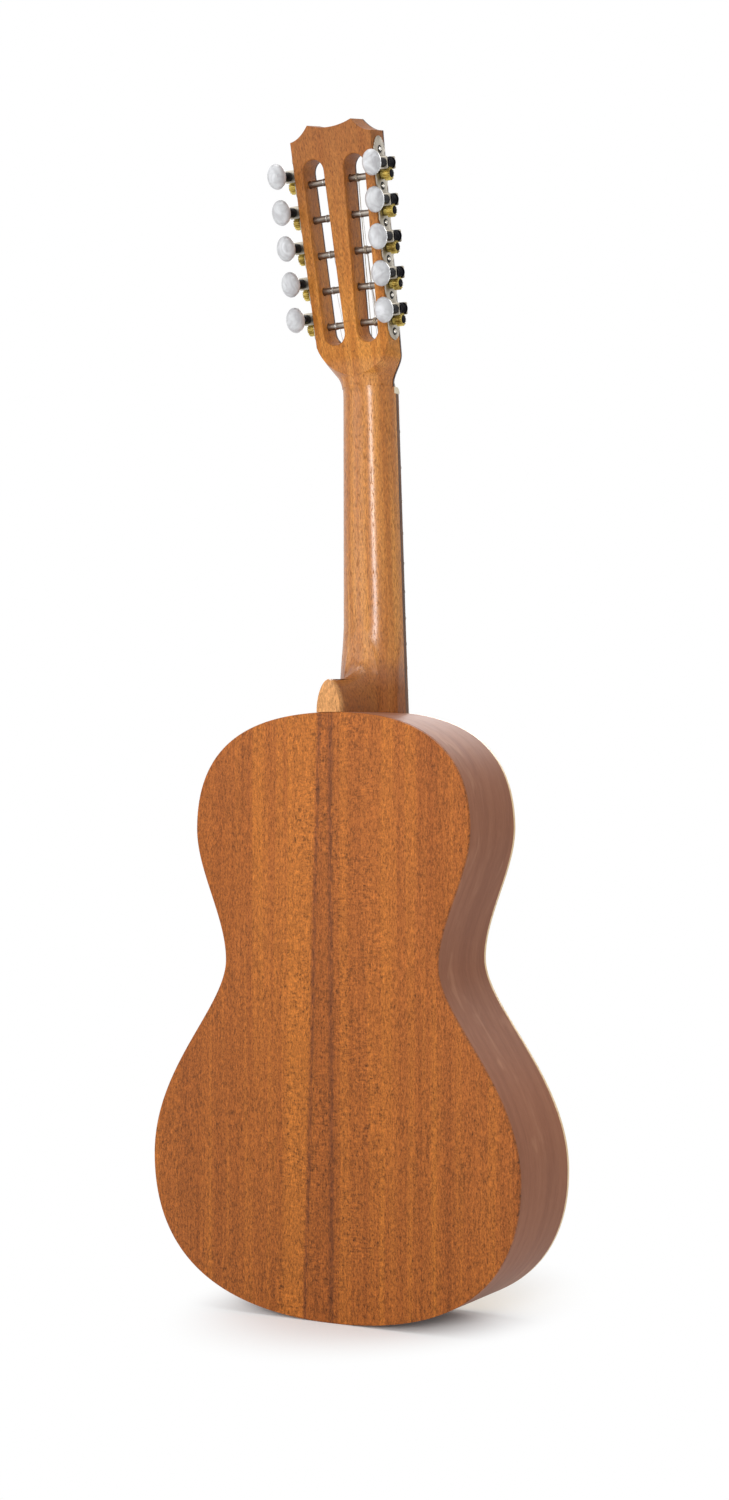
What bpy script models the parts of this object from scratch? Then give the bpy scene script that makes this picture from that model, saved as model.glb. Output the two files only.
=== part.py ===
# Ten-string viola with a guitar-shaped box, a slotted headstock and geared tuning machines.
# It stands on its tail: X across, front towards -Y, back towards +Y, Z up along the neck.
import math

import bmesh
import bpy
from mathutils import Matrix, Vector
from mathutils.geometry import interpolate_bezier

mm = 0.001
clearance = 0.3 * mm          # between pieces that are glued or pressed together

# Sound box
body_length = 437.5 * mm
lower_bout = 307.0 * mm       # full widths
waist = 178.0 * mm
upper_bout = 229.5 * mm
lower_bout_height = 110.5 * mm
waist_height = 257.0 * mm
upper_bout_height = 353.0 * mm
depth_at_tail = 80.0 * mm
depth_at_neck = 68.5 * mm
soundboard_thickness = 2.8 * mm
back_thickness = 2.6 * mm
side_thickness = 2.2 * mm
lining_thickness = 3.6 * mm   # beyond the side
lining_width = 13.0 * mm
block_width = 54.0 * mm
neck_block_length = 34.0 * mm
tail_block_length = 18.0 * mm
soundhole_radius = 39.0 * mm
soundhole_below_neck = 126.5 * mm    # hole's middle, below the top of the box
rosette_inner_radius = 43.0 * mm
rosette_width = 7.0 * mm
rosette_depth = 1.1 * mm
fan_brace_height = 6.0 * mm
fan_brace_width = 5.0 * mm
cross_brace_height = 12.0 * mm
cross_brace_width = 7.0 * mm

# Strings and fingerboard
scale_length = 500.0 * mm
frets_to_body = 11
fret_count = 17
saddle_compensation = 1.5 * mm
fingerboard_thickness = 4.2 * mm
fret_height = 1.0 * mm
fret_crown = 2.2 * mm
fingerboard_overhang = 5.0 * mm
width_at_nut = 41.9 * mm
width_at_body = 50.3 * mm
nut_thickness = 4.8 * mm
nut_sink = 2.0 * mm           # how far the nut is let into the neck
string_over_first_fret = 0.5 * mm
string_over_twelfth_fret = 2.3 * mm
course_spacing_at_nut = 8.4 * mm
pair_spacing_at_nut = 2.4 * mm
course_spacing_at_bridge = 13.6 * mm
pair_spacing_at_bridge = 3.2 * mm
string_diameters = [0.80, 0.45, 0.70, 0.40, 0.60, 0.35, 0.40, 0.40, 0.34, 0.34]  # mm, bass to treble
winding_turns = 1.0
winding_gap = 0.5 * mm        # between neighbouring turns
string_tail = 1.6 * mm        # straight end of a winding

# Bridge
bridge_length = 150.0 * mm
bridge_width = 25.0 * mm
bridge_block_length = 82.0 * mm
bridge_wing_thickness = 3.0 * mm
bridge_height = 7.4 * mm
saddle_thickness = 2.6 * mm
saddle_length = 74.0 * mm
saddle_slot_depth = 4.6 * mm
string_hole_radius = 0.9 * mm
string_past_bridge = 1.5 * mm

# Neck and headstock
neck_depth_at_nut = 20.8 * mm
neck_depth_at_heel = 21.9 * mm
heel_cap_width = 19.6 * mm
heel_cap_length = 23.6 * mm
heel_side_flare = 11.0 * mm
headstock_angle = math.radians(10.3)
headstock_face_at_nut = 1.6 * mm     # how far the headstock's face lies behind the soundboard's plane
headstock_thickness = 19.4 * mm
veneer_thickness = 2.0 * mm
headstock_start = 2.0 * mm           # headstock origin, above the nut's front face
headstock_half_width_low = 30.5 * mm
headstock_half_width_high = 34.2 * mm
headstock_shoulder = 34.6 * mm       # distances up the headstock from its origin
headstock_corner = 186.2 * mm
headstock_horn = 196.4 * mm
headstock_dip = 193.1 * mm
horn_half_width = 18.5 * mm
tongue_start = 14.7 * mm
tongue_radius = 32.0 * mm
slot_width = 17.8 * mm
slot_low = Vector((14.2, 46.1)) * mm   # centres of the slot's round ends
slot_high = Vector((17.4, 162.9)) * mm
ramp_width = 8.4 * mm
ramp_middle = 16.4 * mm

# Tuning machines
machines_per_side = 5
machine_pitch = 26.0 * mm
first_post = 50.8 * mm
post_depth_from_back = 9.3 * mm      # post axis, in front of the headstock's back
post_radius = 2.5 * mm
post_hole_clearance = 0.6 * mm       # all round a post in the wood
post_length = 28.4 * mm
axle_distance = 7.8 * mm             # gear axis to worm axis
gear_teeth = 14
worm_offset = 6.6 * mm               # worm axis and gear middle, out from the headstock's side
gear_thickness = 4.6 * mm
tooth_share = 0.38                   # of the pitch, at the pitch line
worm_thread_turns = 2.5
worm_steps_per_turn = 8
shaft_radius = 1.6 * mm
collar_radius = 3.0 * mm
plate_thickness = 0.9 * mm
plate_half_width = 8.0 * mm
plate_waist_half_width = 6.7 * mm
plate_end_half_width = 6.0 * mm
plate_low_end = 37.0 * mm            # lower end of a plate, up the headstock
screw_drop = 8.0 * mm                # screw below its post
ear_thickness = 1.2 * mm
ear_half_width = 4.3 * mm
ear_distance = 5.7 * mm              # ear middle from the gear's middle plane, along the worm
button_gap_from_back = 7.4 * mm      # button's foot behind the headstock's back
button_length = 12.6 * mm
button_half_height = 9.3 * mm
button_half_width = 6.9 * mm
button_foot_radius = 3.6 * mm
button_bore_depth = 4.5 * mm
running_clearance = 0.4 * mm

# Values that follow from the sizes above
nut_height = body_length + scale_length * (1 - 2 ** (-frets_to_body / 12))
saddle_height = nut_height - scale_length - saddle_compensation
string_at_nut = fingerboard_thickness + clearance + fret_height + string_over_first_fret
string_at_saddle = string_at_nut + 2 * (string_over_twelfth_fret - string_over_first_fret)
largest_string = max(string_diameters) * mm
front_reach = string_at_saddle + largest_string / 2 * math.cos(math.pi / 6)   # a string has six sides
middle_depth = (depth_at_tail - front_reach) / 2
soundhole_height = body_length - soundhole_below_neck
back_slope = (depth_at_neck - depth_at_tail) / body_length
back_lean = math.atan(back_slope)
side_lean = math.atan((headstock_half_width_high - headstock_half_width_low)
                      / (headstock_corner - headstock_shoulder))
post_depth = headstock_thickness - post_depth_from_back
post_hole_radius = post_radius + post_hole_clearance
ramp_slope = 0.285 * (post_depth + 4.1 * mm) / (14.2 * mm)   # of the string ramps at the slots' lower ends
ramp_start = 2.0 * mm + 5.2725 * mm / ramp_slope             # the strings have come down far enough there
module = 2 * axle_distance / (gear_teeth + 11.6)
gear_pitch_radius = module * gear_teeth / 2
worm_pitch_radius = axle_distance - gear_pitch_radius
worm_lead = math.pi * module
tooth_addendum = module
tooth_dedendum = 1.25 * module

headstock_frame = (Matrix.Translation((0, headstock_face_at_nut, nut_height + headstock_start))
                   @ Matrix.Rotation(-headstock_angle, 4, "X"))


# Scene and objects

def clear_scene():
    for old in list(bpy.data.objects):
        bpy.data.objects.remove(old, do_unlink=True)


def new_collection(name):
    collection = bpy.data.collections.new(name)
    bpy.context.scene.collection.children.link(collection)
    return collection


def new_material(name, colour, roughness, metallic=0.0):
    material = bpy.data.materials.new(name)
    material.use_nodes = True
    shader = material.node_tree.nodes["Principled BSDF"]
    shader.inputs["Base Color"].default_value = (*colour, 1.0)
    shader.inputs["Roughness"].default_value = roughness
    shader.inputs["Metallic"].default_value = metallic
    return material


def add_object(name, mesh, material=None, matrix=Matrix.Identity(4), collection=None):
    thing = bpy.data.objects.new(name, mesh)
    (collection or parts).objects.link(thing)
    thing.matrix_local = matrix
    if material:
        if not mesh.materials:
            mesh.materials.append(material)
        thing.parent = root
    return thing


def finish_bmesh(name, bm):
    bmesh.ops.recalc_face_normals(bm, faces=bm.faces[:])
    mesh = bpy.data.meshes.new(name)
    bm.to_mesh(mesh)
    bm.free()
    return mesh


def evaluated_mesh(thing):
    """Return the object's mesh with its modifiers or curve settings applied, and remove the object."""
    bpy.context.view_layer.update()
    graph = bpy.context.evaluated_depsgraph_get()
    mesh = bpy.data.meshes.new_from_object(thing.evaluated_get(graph))
    mesh.transform(thing.matrix_world)
    bpy.data.objects.remove(thing, do_unlink=True)
    bm = bmesh.new()
    bm.from_mesh(mesh)
    bmesh.ops.remove_doubles(bm, verts=bm.verts[:], dist=0.000002)
    bm.to_mesh(mesh)
    bm.free()
    return mesh


def smooth(mesh, angle=40):
    mesh.shade_smooth()
    mesh.set_sharp_from_angle(angle=math.radians(angle))
    return mesh


def combine(thing, other, operation):
    """Add a Boolean of the other object, which becomes a hidden cutter."""
    other.hide_render = True
    other.display_type = "WIRE"
    change = thing.modifiers.new(other.name, "BOOLEAN")
    change.solver = "EXACT"
    change.operation = operation
    change.object = other
    return thing


def add_cutter(name, mesh, matrix=Matrix.Identity(4)):
    cutter = add_object(name, mesh, None, matrix, cutters)
    cutter.hide_render = True
    cutter.display_type = "WIRE"
    cutter.parent = root
    return cutter


# Shapes

def plate_mesh(name, points, thickness):
    """A flat outline in the XY plane, from z = 0 up to its thickness."""
    curve = bpy.data.curves.new(name, "CURVE")
    curve.dimensions = "2D"
    curve.fill_mode = "BOTH"
    curve.extrude = thickness / 2
    spline = curve.splines.new("POLY")
    spline.points.add(len(points) - 1)
    for point, place in zip(spline.points, points):
        point.co = (place[0], place[1], 0, 1)
    spline.use_cyclic_u = True
    guide = bpy.data.objects.new(name, curve)
    cutters.objects.link(guide)
    guide.location.z = thickness / 2
    return evaluated_mesh(guide)


def lathe_mesh(name, profile, steps):
    """Turn (radius, height) points, listed from top to bottom, round the Z axis."""
    bm = bmesh.new()
    points = [bm.verts.new((radius, 0, height)) for radius, height in profile]
    for upper, lower in zip(points, points[1:]):
        bm.edges.new((upper, lower))
    mesh = bpy.data.meshes.new(name)
    bm.to_mesh(mesh)
    bm.free()
    thing = bpy.data.objects.new(name, mesh)
    cutters.objects.link(thing)
    turn = thing.modifiers.new("turn", "SCREW")
    turn.steps = steps
    turn.render_steps = steps
    turn.use_merge_vertices = True
    turn.merge_threshold = 0.000005
    return smooth(evaluated_mesh(thing))


def loft_mesh(name, rings):
    """A closed skin through rings of the same number of points, with a flat face at each end."""
    bm = bmesh.new()
    loops = [[bm.verts.new(point) for point in ring] for ring in rings]
    count = len(loops[0])
    for lower, upper in zip(loops, loops[1:]):
        for i in range(count):
            j = (i + 1) % count
            bm.faces.new((lower[i], lower[j], upper[j], upper[i]))
    bm.faces.new(loops[0])
    bm.faces.new(loops[-1])
    return finish_bmesh(name, bm)


def box_mesh(name, low, high):
    bm = bmesh.new()
    bmesh.ops.create_cube(bm, size=1)
    low, high = Vector(low), Vector(high)
    size = high - low
    bmesh.ops.scale(bm, vec=size, verts=bm.verts[:])
    bmesh.ops.translate(bm, vec=(low + high) / 2, verts=bm.verts[:])
    return finish_bmesh(name, bm)


def rod_mesh(name, radius, low, high, steps):
    """A cylinder on the Z axis between two heights."""
    bm = bmesh.new()
    bmesh.ops.create_cone(bm, cap_ends=True, segments=steps, radius1=radius, radius2=radius, depth=high - low)
    bmesh.ops.translate(bm, vec=(0, 0, (low + high) / 2), verts=bm.verts[:])
    return finish_bmesh(name, bm)


def tube_mesh(name, points, radius, bevel_resolution):
    """A round tube along a list of points, with closed ends."""
    curve = bpy.data.curves.new(name, "CURVE")
    curve.dimensions = "3D"
    curve.bevel_depth = radius
    curve.bevel_resolution = bevel_resolution
    curve.use_fill_caps = True
    spline = curve.splines.new("POLY")
    spline.points.add(len(points) - 1)
    for point, place in zip(spline.points, points):
        point.co = (*place, 1)
    guide = bpy.data.objects.new(name, curve)
    cutters.objects.link(guide)
    return smooth(evaluated_mesh(guide), 50)


def mirrored(points):
    """A right half, listed from bottom to top on the centre line, closed with its mirror image."""
    left = [Vector((-p.x, p.y)) for p in reversed(points) if p.x > 0.01 * mm]
    return [Vector((p.x, p.y)) for p in points] + left


def upright(depth, lean=0.0):
    """Stand an XY outline up in the XZ plane, its z = 0 side at the given depth, facing the front."""
    return Matrix.Translation((0, depth, 0)) @ Matrix.Rotation(math.pi / 2 + lean, 4, "X")


# Outlines

def body_half_outline(inset=0.0):
    """Half of the box's outline from the tail to the neck, moved inwards by the inset."""
    tail = Vector((0, 0))
    lower = Vector((lower_bout / 2, lower_bout_height))
    middle = Vector((waist / 2, waist_height))
    upper = Vector((upper_bout / 2, upper_bout_height))
    top = Vector((0, body_length))
    across, up = Vector((1, 0)), Vector((0, 1))
    stretches = [
        (tail, tail + across * 94 * mm, lower - up * 77 * mm, lower, 8),
        (lower, lower + up * 65 * mm, middle - up * 35 * mm, middle, 6),
        (middle, middle + up * 31 * mm, upper - up * 31 * mm, upper, 5),
        (upper, upper + up * 52 * mm, top + across * 83 * mm, top, 8),
    ]
    points = [tail]
    for start, handle_1, handle_2, end, pieces in stretches:
        points += [Vector(p) for p in interpolate_bezier(start, handle_1, handle_2, end, pieces + 1)][1:]
    moved = []
    for i, point in enumerate(points):
        if i == 0:
            inward = up
        elif i == len(points) - 1:
            inward = -up
        else:
            along = (points[i + 1] - points[i - 1]).normalized()
            inward = Vector((-along.y, along.x))
        moved.append(point + inward * inset)
    moved[0].x = moved[-1].x = 0
    return moved


def half_width_at(height, inset):
    """Half width of the box at a height, between neighbouring points of its outline."""
    points = body_half_outline(inset)
    for a, b in zip(points, points[1:]):
        if a.y <= height <= b.y:
            return a.x + (b.x - a.x) * (height - a.y) / (b.y - a.y)
    return 0.0


def back_outside(height):
    return depth_at_tail + back_slope * height


def neck_half_width(height):
    taper = (width_at_body - width_at_nut) / 2 / (nut_height - body_length)
    return width_at_nut / 2 + taper * (nut_height - height)


def headstock_half_width(distance):
    return headstock_half_width_low + (distance - headstock_shoulder) * math.tan(side_lean)


def headstock_outline(low_points):
    """The headstock's face: its lower edge as given, straight sides, coves, horns and a dip."""
    corner = Vector((headstock_half_width(headstock_corner), headstock_corner))
    horn = Vector((horn_half_width, headstock_horn))
    cove = Vector((26, 187)) * mm
    dip = Vector((0, headstock_dip))
    half = list(low_points) + [corner]
    for i in range(1, 5):
        t = i / 4
        half.append(corner * (1 - t) ** 2 + cove * 2 * t * (1 - t) + horn * t * t)
    for i in range(1, 5):
        t = i / 4
        half.append(horn * (1 - t) ** 2 + Vector((horn_half_width / 2, headstock_dip)) * 2 * t * (1 - t)
                    + dip * t * t)
    return mirrored(half)


def tongue_half_width(distance):
    """Half width of the flat back of the headstock, where the rounded neck runs into it."""
    rise = distance - tongue_start
    if rise <= 0:
        return 0.0
    return min(math.sqrt(max(tongue_radius ** 2 - (tongue_radius - rise) ** 2, 0)),
               headstock_half_width(headstock_shoulder))


def fret_place(number):
    return nut_height - scale_length * (1 - 2 ** (-number / 12))


# Box

def make_soundboard():
    outline = mirrored(body_half_outline())
    board = add_object("soundboard", plate_mesh("soundboard", outline, soundboard_thickness), spruce,
                       upright(soundboard_thickness))
    hole = lathe_mesh("soundhole", [(0, 10 * mm), (soundhole_radius, 10 * mm),
                                    (soundhole_radius, -10 * mm), (0, -10 * mm)], 28)
    at_hole = Matrix.Translation((0, 0, soundhole_height)) @ Matrix.Rotation(math.pi / 2, 4, "X")
    combine(board, add_cutter("soundhole_cutter", hole, at_hole), "DIFFERENCE")
    groove = ring_mesh("rosette_groove", rosette_inner_radius - clearance,
                       rosette_inner_radius + rosette_width + clearance, -rosette_depth - clearance, 2 * mm)
    combine(board, add_cutter("rosette_groove_cutter", groove, at_hole), "DIFFERENCE")
    for i in range(-1, 2):
        strut = fan_brace(i)
        combine(board, add_cutter("fan_brace_%d" % (i + 2), strut), "UNION")
    rosette_outer_radius = rosette_inner_radius + rosette_width
    inlay = ring_mesh("rosette", rosette_inner_radius, rosette_outer_radius, -rosette_depth, 0)
    add_object("rosette", inlay, rosette_wood, at_hole)


def ring_mesh(name, inner, outer, low, high):
    """A flat ring round the Z axis, made of a turned rectangle."""
    profile = [(inner, high), (outer, high), (outer, low), (inner, low), (inner, high)]
    return lathe_mesh(name, profile, 28)


def fan_brace(number):
    """A thin strut under the soundboard, lower at its ends, in a fan of three."""
    low, high = saddle_height - 95 * mm, saddle_height + 55 * mm
    buried = soundboard_thickness - 0.4 * mm
    rings = []
    for share, height in ((0, 0.25), (0.2, 1), (0.8, 1), (1, 0.25)):
        z = low + (high - low) * share
        lean = number * (48 * mm - 22 * mm * share)
        top = buried + 0.4 * mm + fan_brace_height * height
        half = fan_brace_width / 2
        rings.append([(lean - half, buried, z), (lean + half, buried, z),
                      (lean + half, top, z), (lean - half, top, z)])
    return loft_mesh("fan_brace", rings)


def make_back():
    half = body_half_outline()
    for name, side in (("back_left", 1), ("back_right", -1)):
        edge = clearance / 2
        points = [Vector((max(p.x, edge) * side, p.y)) for p in half]
        mesh = plate_mesh(name, points, back_thickness)
        add_object(name, mesh, back_wood, upright(depth_at_tail, -back_lean))


def make_sides():
    """Each side is a bent rib whose edges carry the linings that the plates are glued to."""
    outer = body_half_outline()
    inner = [body_half_outline(side_thickness + lining_thickness),
             body_half_outline(side_thickness + 0.3 * mm)]
    shell = body_half_outline(side_thickness)
    for name, side in (("side_left", 1), ("side_right", -1)):
        rings = []
        for i, point in enumerate(outer):
            lined = inner[0][i] if point.x > block_width / 2 + 8 * mm else inner[1][i]
            front = soundboard_thickness + clearance
            ring = []
            for place, depth_kind in ((point, "front"), (point, "back"), (lined, "back"),
                                      (lined, "back_foot"), (shell[i], "back_end"),
                                      (shell[i], "front_end"), (lined, "front_foot"), (lined, "front")):
                back = back_outside(place.y) - back_thickness * 1.001 - clearance
                depth = {"front": front, "back": back, "back_foot": back - 5 * mm,
                         "back_end": back - lining_width, "front_end": front + lining_width,
                         "front_foot": front + 5 * mm}[depth_kind]
                x = max(place.x, clearance / 2)
                ring.append((x * side, depth, place.y))
            rings.append(ring)
        add_object(name, smooth(loft_mesh(name, rings), 30), side_wood)


def block_mesh(name, points):
    """A block between the soundboard and the sloping back, from a flat outline."""
    front = soundboard_thickness + clearance
    rings = [[(p.x, front, p.y) for p in points],
             [(p.x, back_outside(p.y) - back_thickness * 1.001 - clearance, p.y) for p in points]]
    return loft_mesh(name, rings)


def make_blocks():
    seat = body_half_outline(side_thickness + 0.3 * mm + clearance)
    half = block_width / 2
    for name, reverse, far in (("tail_block", False, tail_block_length),
                               ("neck_block", True, body_length - neck_block_length)):
        order = seat[::-1] if reverse else seat
        count = next(i for i, p in enumerate(order) if p.x > half)
        run, edge = order[:count], order[count]
        last = run[-1]
        share = (half - last.x) / (edge.x - last.x)
        run.append(last + (edge - last) * share)
        run.append(Vector((half, far)))
        points = [p for p in run] + [Vector((-p.x, p.y)) for p in reversed(run) if p.x > 0]
        add_object(name, block_mesh(name, points), block_wood)


def make_cross_braces():
    """Bars across the plates, scooped at their ends, that stop at the linings."""
    inset = side_thickness + lining_thickness + 1.2 * clearance
    places = (("soundboard_brace_upper", soundhole_height + 68 * mm, True),
              ("soundboard_brace_lower", soundhole_height - 58 * mm, True),
              ("back_brace_upper", upper_bout_height - 6 * mm, False),
              ("back_brace_lower", lower_bout_height + 20 * mm, False))
    for name, height, on_front in places:
        reach = min(half_width_at(height + s * cross_brace_width / 2, inset) for s in (-1, 1))
        rings = []
        for share, rise in ((-1, 0.35), (-0.78, 0.4), (-0.6, 1), (0.6, 1), (0.78, 0.4), (1, 0.35)):
            ring = []
            for z, far in ((-1, 0), (1, 0), (1, 1), (-1, 1)):
                place = height + z * cross_brace_width / 2
                if on_front:
                    depth = soundboard_thickness + clearance + far * rise * cross_brace_height
                else:
                    seat = back_outside(place) - back_thickness * 1.001 - clearance
                    depth = seat - far * rise * cross_brace_height
                ring.append((share * reach, depth, place))
            rings.append(ring)
        add_object(name, loft_mesh(name, rings), brace_wood)


# Neck

def heel_ridge(height):
    """Depth of the neck's back on the centre line: the heel's cap, its ridge, then the shaft."""
    tip = body_length + heel_cap_length
    if height <= tip:
        return back_outside(height)
    shaft = shaft_depth(height)
    fall = (height - tip) / (14 * mm)
    return shaft + (back_outside(tip) - 17 * mm - shaft) * math.exp(-2.6 * fall)


def shaft_depth(height):
    share = (nut_height - height) / (nut_height - body_length)
    return neck_depth_at_nut + (neck_depth_at_heel - neck_depth_at_nut) * share


def heel_half_width(depth, height):
    """Half width of the heel's keel, an arch at each depth that ends at the ridge's height."""
    tip = body_length + heel_cap_length
    shaft = shaft_depth(height)
    drop = (back_outside(tip) - 17 * mm - shaft)
    if depth > shaft + drop:
        ridge_height = tip
    elif depth > shaft + 0.05 * mm:
        ridge_height = tip - math.log((depth - shaft) / drop) / 2.6 * 14 * mm
    else:
        ridge_height = tip + 40 * mm
    rise = (height - body_length) / (ridge_height - body_length)
    if rise >= 1:
        return 0.0
    cap = heel_cap_width / 2
    flare = max(1 - depth / back_outside(body_length), 0) ** 1.4
    base = cap + heel_side_flare * flare
    return base * (1 - max(rise, 0) ** 2) ** 0.57


def neck_section(height):
    """One ring of the neck: flat at the front, rounded behind, with the heel or the headstock's back."""
    distance = (height - nut_height - headstock_start) / math.cos(headstock_angle)
    lift = (height - nut_height - headstock_start) * math.tan(headstock_angle)
    face = headstock_face_at_nut + lift
    under_veneer = face + (veneer_thickness + 1.5 * clearance) / math.cos(headstock_angle)
    plane = face + (headstock_thickness - clearance / 2) / math.cos(headstock_angle)
    past_nut = height > nut_height + nut_thickness + 1.1 * clearance
    base, front = (face, under_veneer) if past_nut else (0, 0)
    half = neck_half_width(min(height, nut_height))
    spread = min(max((distance - 4 * mm) / (22 * mm), 0), 1)
    half += (headstock_half_width(26 * mm) - clearance - half) * spread * spread * (3 - 2 * spread)
    flat = tongue_half_width(distance + headstock_thickness * math.tan(headstock_angle))
    if flat > 0:
        share = min(flat / half, 0.985)
        full_depth = (plane - base) / math.sqrt(1 - share ** 2)
        back = plane
    else:
        back = max(heel_ridge(height), plane)
        full_depth = back - base
        if height < nut_height - 60 * mm:
            full_depth = shaft_depth(height) - base
    shaft_back = min(back, base + full_depth)
    depths = [front + (shaft_back - front) * math.sin(math.pi / 2 * i / 5) for i in range(5)]
    depths += [depths[-1] + (back - depths[-1]) * i / 3 for i in range(1, 4)]
    points = []
    for depth in depths:
        shaft = half * math.sqrt(max(1 - ((depth - base) / full_depth) ** 2, 0))
        keel = heel_half_width(depth, height) if height < nut_height - 60 * mm else 0
        width = (shaft ** 3 + keel ** 3) ** (1 / 3)
        points.append((max(min(width, half), clearance), depth, height))
    return points + [(-x, y, z) for x, y, z in reversed(points)]


def make_neck():
    tip = body_length + heel_cap_length
    heel = [-8, 6, 13, 18, 21.5]
    above = [0, 0.3, 2, 5, 9, 16, 28]
    heights = [body_length + h * mm for h in heel] + [tip + h * mm for h in above]
    heights += [body_length + (nut_height - body_length) * 0.6, nut_height - 14 * mm, nut_height - 2 * mm]
    heights += [nut_height + h * mm for h in (5.1, 5.2, 9, 13, 17, 22, 28, 34, 41)]
    shaft = smooth(loft_mesh("neck", [neck_section(h) for h in heights]), 35)
    neck = add_object("neck", shaft, neck_wood)

    low = [Vector((0, tongue_start))]
    for i in range(1, 6):
        distance = tongue_start + (headstock_shoulder + 1 * mm - tongue_start) * (i / 5) ** 2
        low.append(Vector((tongue_half_width(distance), distance)))
    low.append(Vector((headstock_half_width(headstock_shoulder + 2 * mm), headstock_shoulder + 2 * mm)))
    wood = headstock_thickness - veneer_thickness - clearance
    board = plate_mesh("headstock_board", headstock_outline(low), wood)
    stand = headstock_frame @ upright(headstock_thickness)
    combine(neck, add_cutter("headstock_board", board, stand), "UNION")

    half = neck_half_width(nut_height) + 4 * mm
    seat = box_mesh("nut_seat", (-half, -5 * mm, nut_height - clearance),
                    (half, nut_sink + clearance, nut_height + nut_thickness + clearance))
    combine(neck, add_cutter("nut_seat_cutter", seat), "DIFFERENCE")

    edge = [p for p in body_half_outline(-clearance) if p.y > body_length - 25 * mm]
    outline = [Vector((-edge[0].x, edge[0].y - 20 * mm)), Vector((edge[0].x, edge[0].y - 20 * mm))]
    outline += edge + [Vector((-p.x, p.y)) for p in reversed(edge) if p.x > 0]
    box = plate_mesh("box_end", outline, depth_at_tail + 20 * mm)
    combine(neck, add_cutter("box_end_cutter", box, upright(depth_at_tail + 10 * mm)), "DIFFERENCE")

    for name, side in (("left", 1), ("right", -1)):
        slot = add_cutter("slot_cutter_" + name, slot_mesh(name, side, 40 * mm),
                          headstock_frame @ upright(30 * mm))
        ramp = add_cutter("ramp_cutter_" + name, ramp_mesh(side), headstock_frame)
        combine(neck, slot, "DIFFERENCE")
        combine(neck, ramp, "DIFFERENCE")
    for side in (1, -1):
        for number in range(machines_per_side):
            hole = rod_mesh("post_hole", post_hole_radius, -post_length - 1 * mm, 4 * mm, 6)
            cutter = add_cutter("post_hole_%d_%d" % (side + 1, number), hole, machine_frame(side, number))
            combine(neck, cutter, "DIFFERENCE")

    half_low = Vector((neck_half_width(nut_height) + 0.3 * mm,
                       nut_thickness - headstock_start + 3 * clearance))
    low = [half_low]
    for i in range(1, 6):
        distance = 4 * mm + 22 * mm * i / 5
        spread = i / 5
        width = half_low.x + (headstock_half_width(26 * mm) - half_low.x) * spread * spread * (3 - 2 * spread)
        low.append(Vector((width, distance)))
    low.append(Vector((headstock_half_width(headstock_shoulder), headstock_shoulder)))
    face = plate_mesh("headstock_veneer", headstock_outline(low), veneer_thickness)
    veneer = add_object("headstock_veneer", face, veneer_wood, headstock_frame @ upright(veneer_thickness))
    for cutter in ("slot_cutter_left", "slot_cutter_right", "ramp_cutter_left", "ramp_cutter_right"):
        combine(veneer, bpy.data.objects[cutter], "DIFFERENCE")


def slot_mesh(name, side, thickness):
    """A long slot with round ends."""
    along = (slot_high - slot_low).normalized()
    across = Vector((along.y, -along.x))
    points = []
    for i in range(9):
        angle = math.pi * i / 8
        points.append(slot_high + (across * math.cos(angle) + along * math.sin(angle)) * slot_width / 2)
    for i in range(9):
        angle = math.pi * i / 8
        points.append(slot_low - (across * math.cos(angle) + along * math.sin(angle)) * slot_width / 2)
    return plate_mesh(name, [Vector((p.x * side, p.y)) for p in points], thickness)


def ramp_mesh(side):
    """The slope at a slot's lower end that lets the outer strings down to the lowest posts."""
    start = Vector((ramp_start, -0.4 * mm))
    end = Vector((slot_low.y, start.y + (slot_low.y - ramp_start) * ramp_slope))
    profile = [start, end, Vector((end.x, -4 * mm)), Vector((start.x, -4 * mm))]
    rings = [[(side * (ramp_middle + half), p.y, p.x) for p in profile]
             for half in (-ramp_width / 2, ramp_width / 2)]
    return loft_mesh("ramp", rings)


def make_fingerboard():
    """The board's long profile carries its frets; its width follows the neck's taper."""
    end = fret_place(fret_count) - fingerboard_overhang
    top = fingerboard_thickness
    profile = [Vector((nut_height - clearance, 0)), Vector((nut_height - clearance, top))]
    for number in range(1, fret_count + 1):
        place = fret_place(number)
        half = fret_crown / 2
        profile += [Vector((place + half, top)), Vector((place + half * 0.45, top + fret_height)),
                    Vector((place - half * 0.45, top + fret_height)), Vector((place - half, top))]
    profile += [Vector((end, top)), Vector((end, 0))]
    rings = []
    for side in (1, -1):
        rings.append([(side * neck_half_width(p.x), -clearance - p.y, p.x) for p in profile])
    add_object("fingerboard", loft_mesh("fingerboard", rings), board_wood)


def make_nut():
    low, high = nut_height, nut_height + nut_thickness
    top = string_at_nut - largest_string / 2 - clearance
    half = neck_half_width(nut_height)
    profile = [(low, nut_sink), (low, -top + 0.4 * mm), (low + 1.2 * mm, -top),
               (high - 2.0 * mm, -top + 0.5 * mm), (high, -top + 2.2 * mm), (high, nut_sink)]
    rings = [[(side * half, y, z) for z, y in profile] for side in (1, -1)]
    add_object("nut", loft_mesh("nut", rings), bone)


def string_across(number, course_spacing, pair_spacing):
    return (number // 2 - 2) * course_spacing + (number % 2 - 0.5) * pair_spacing


# Bridge

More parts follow.
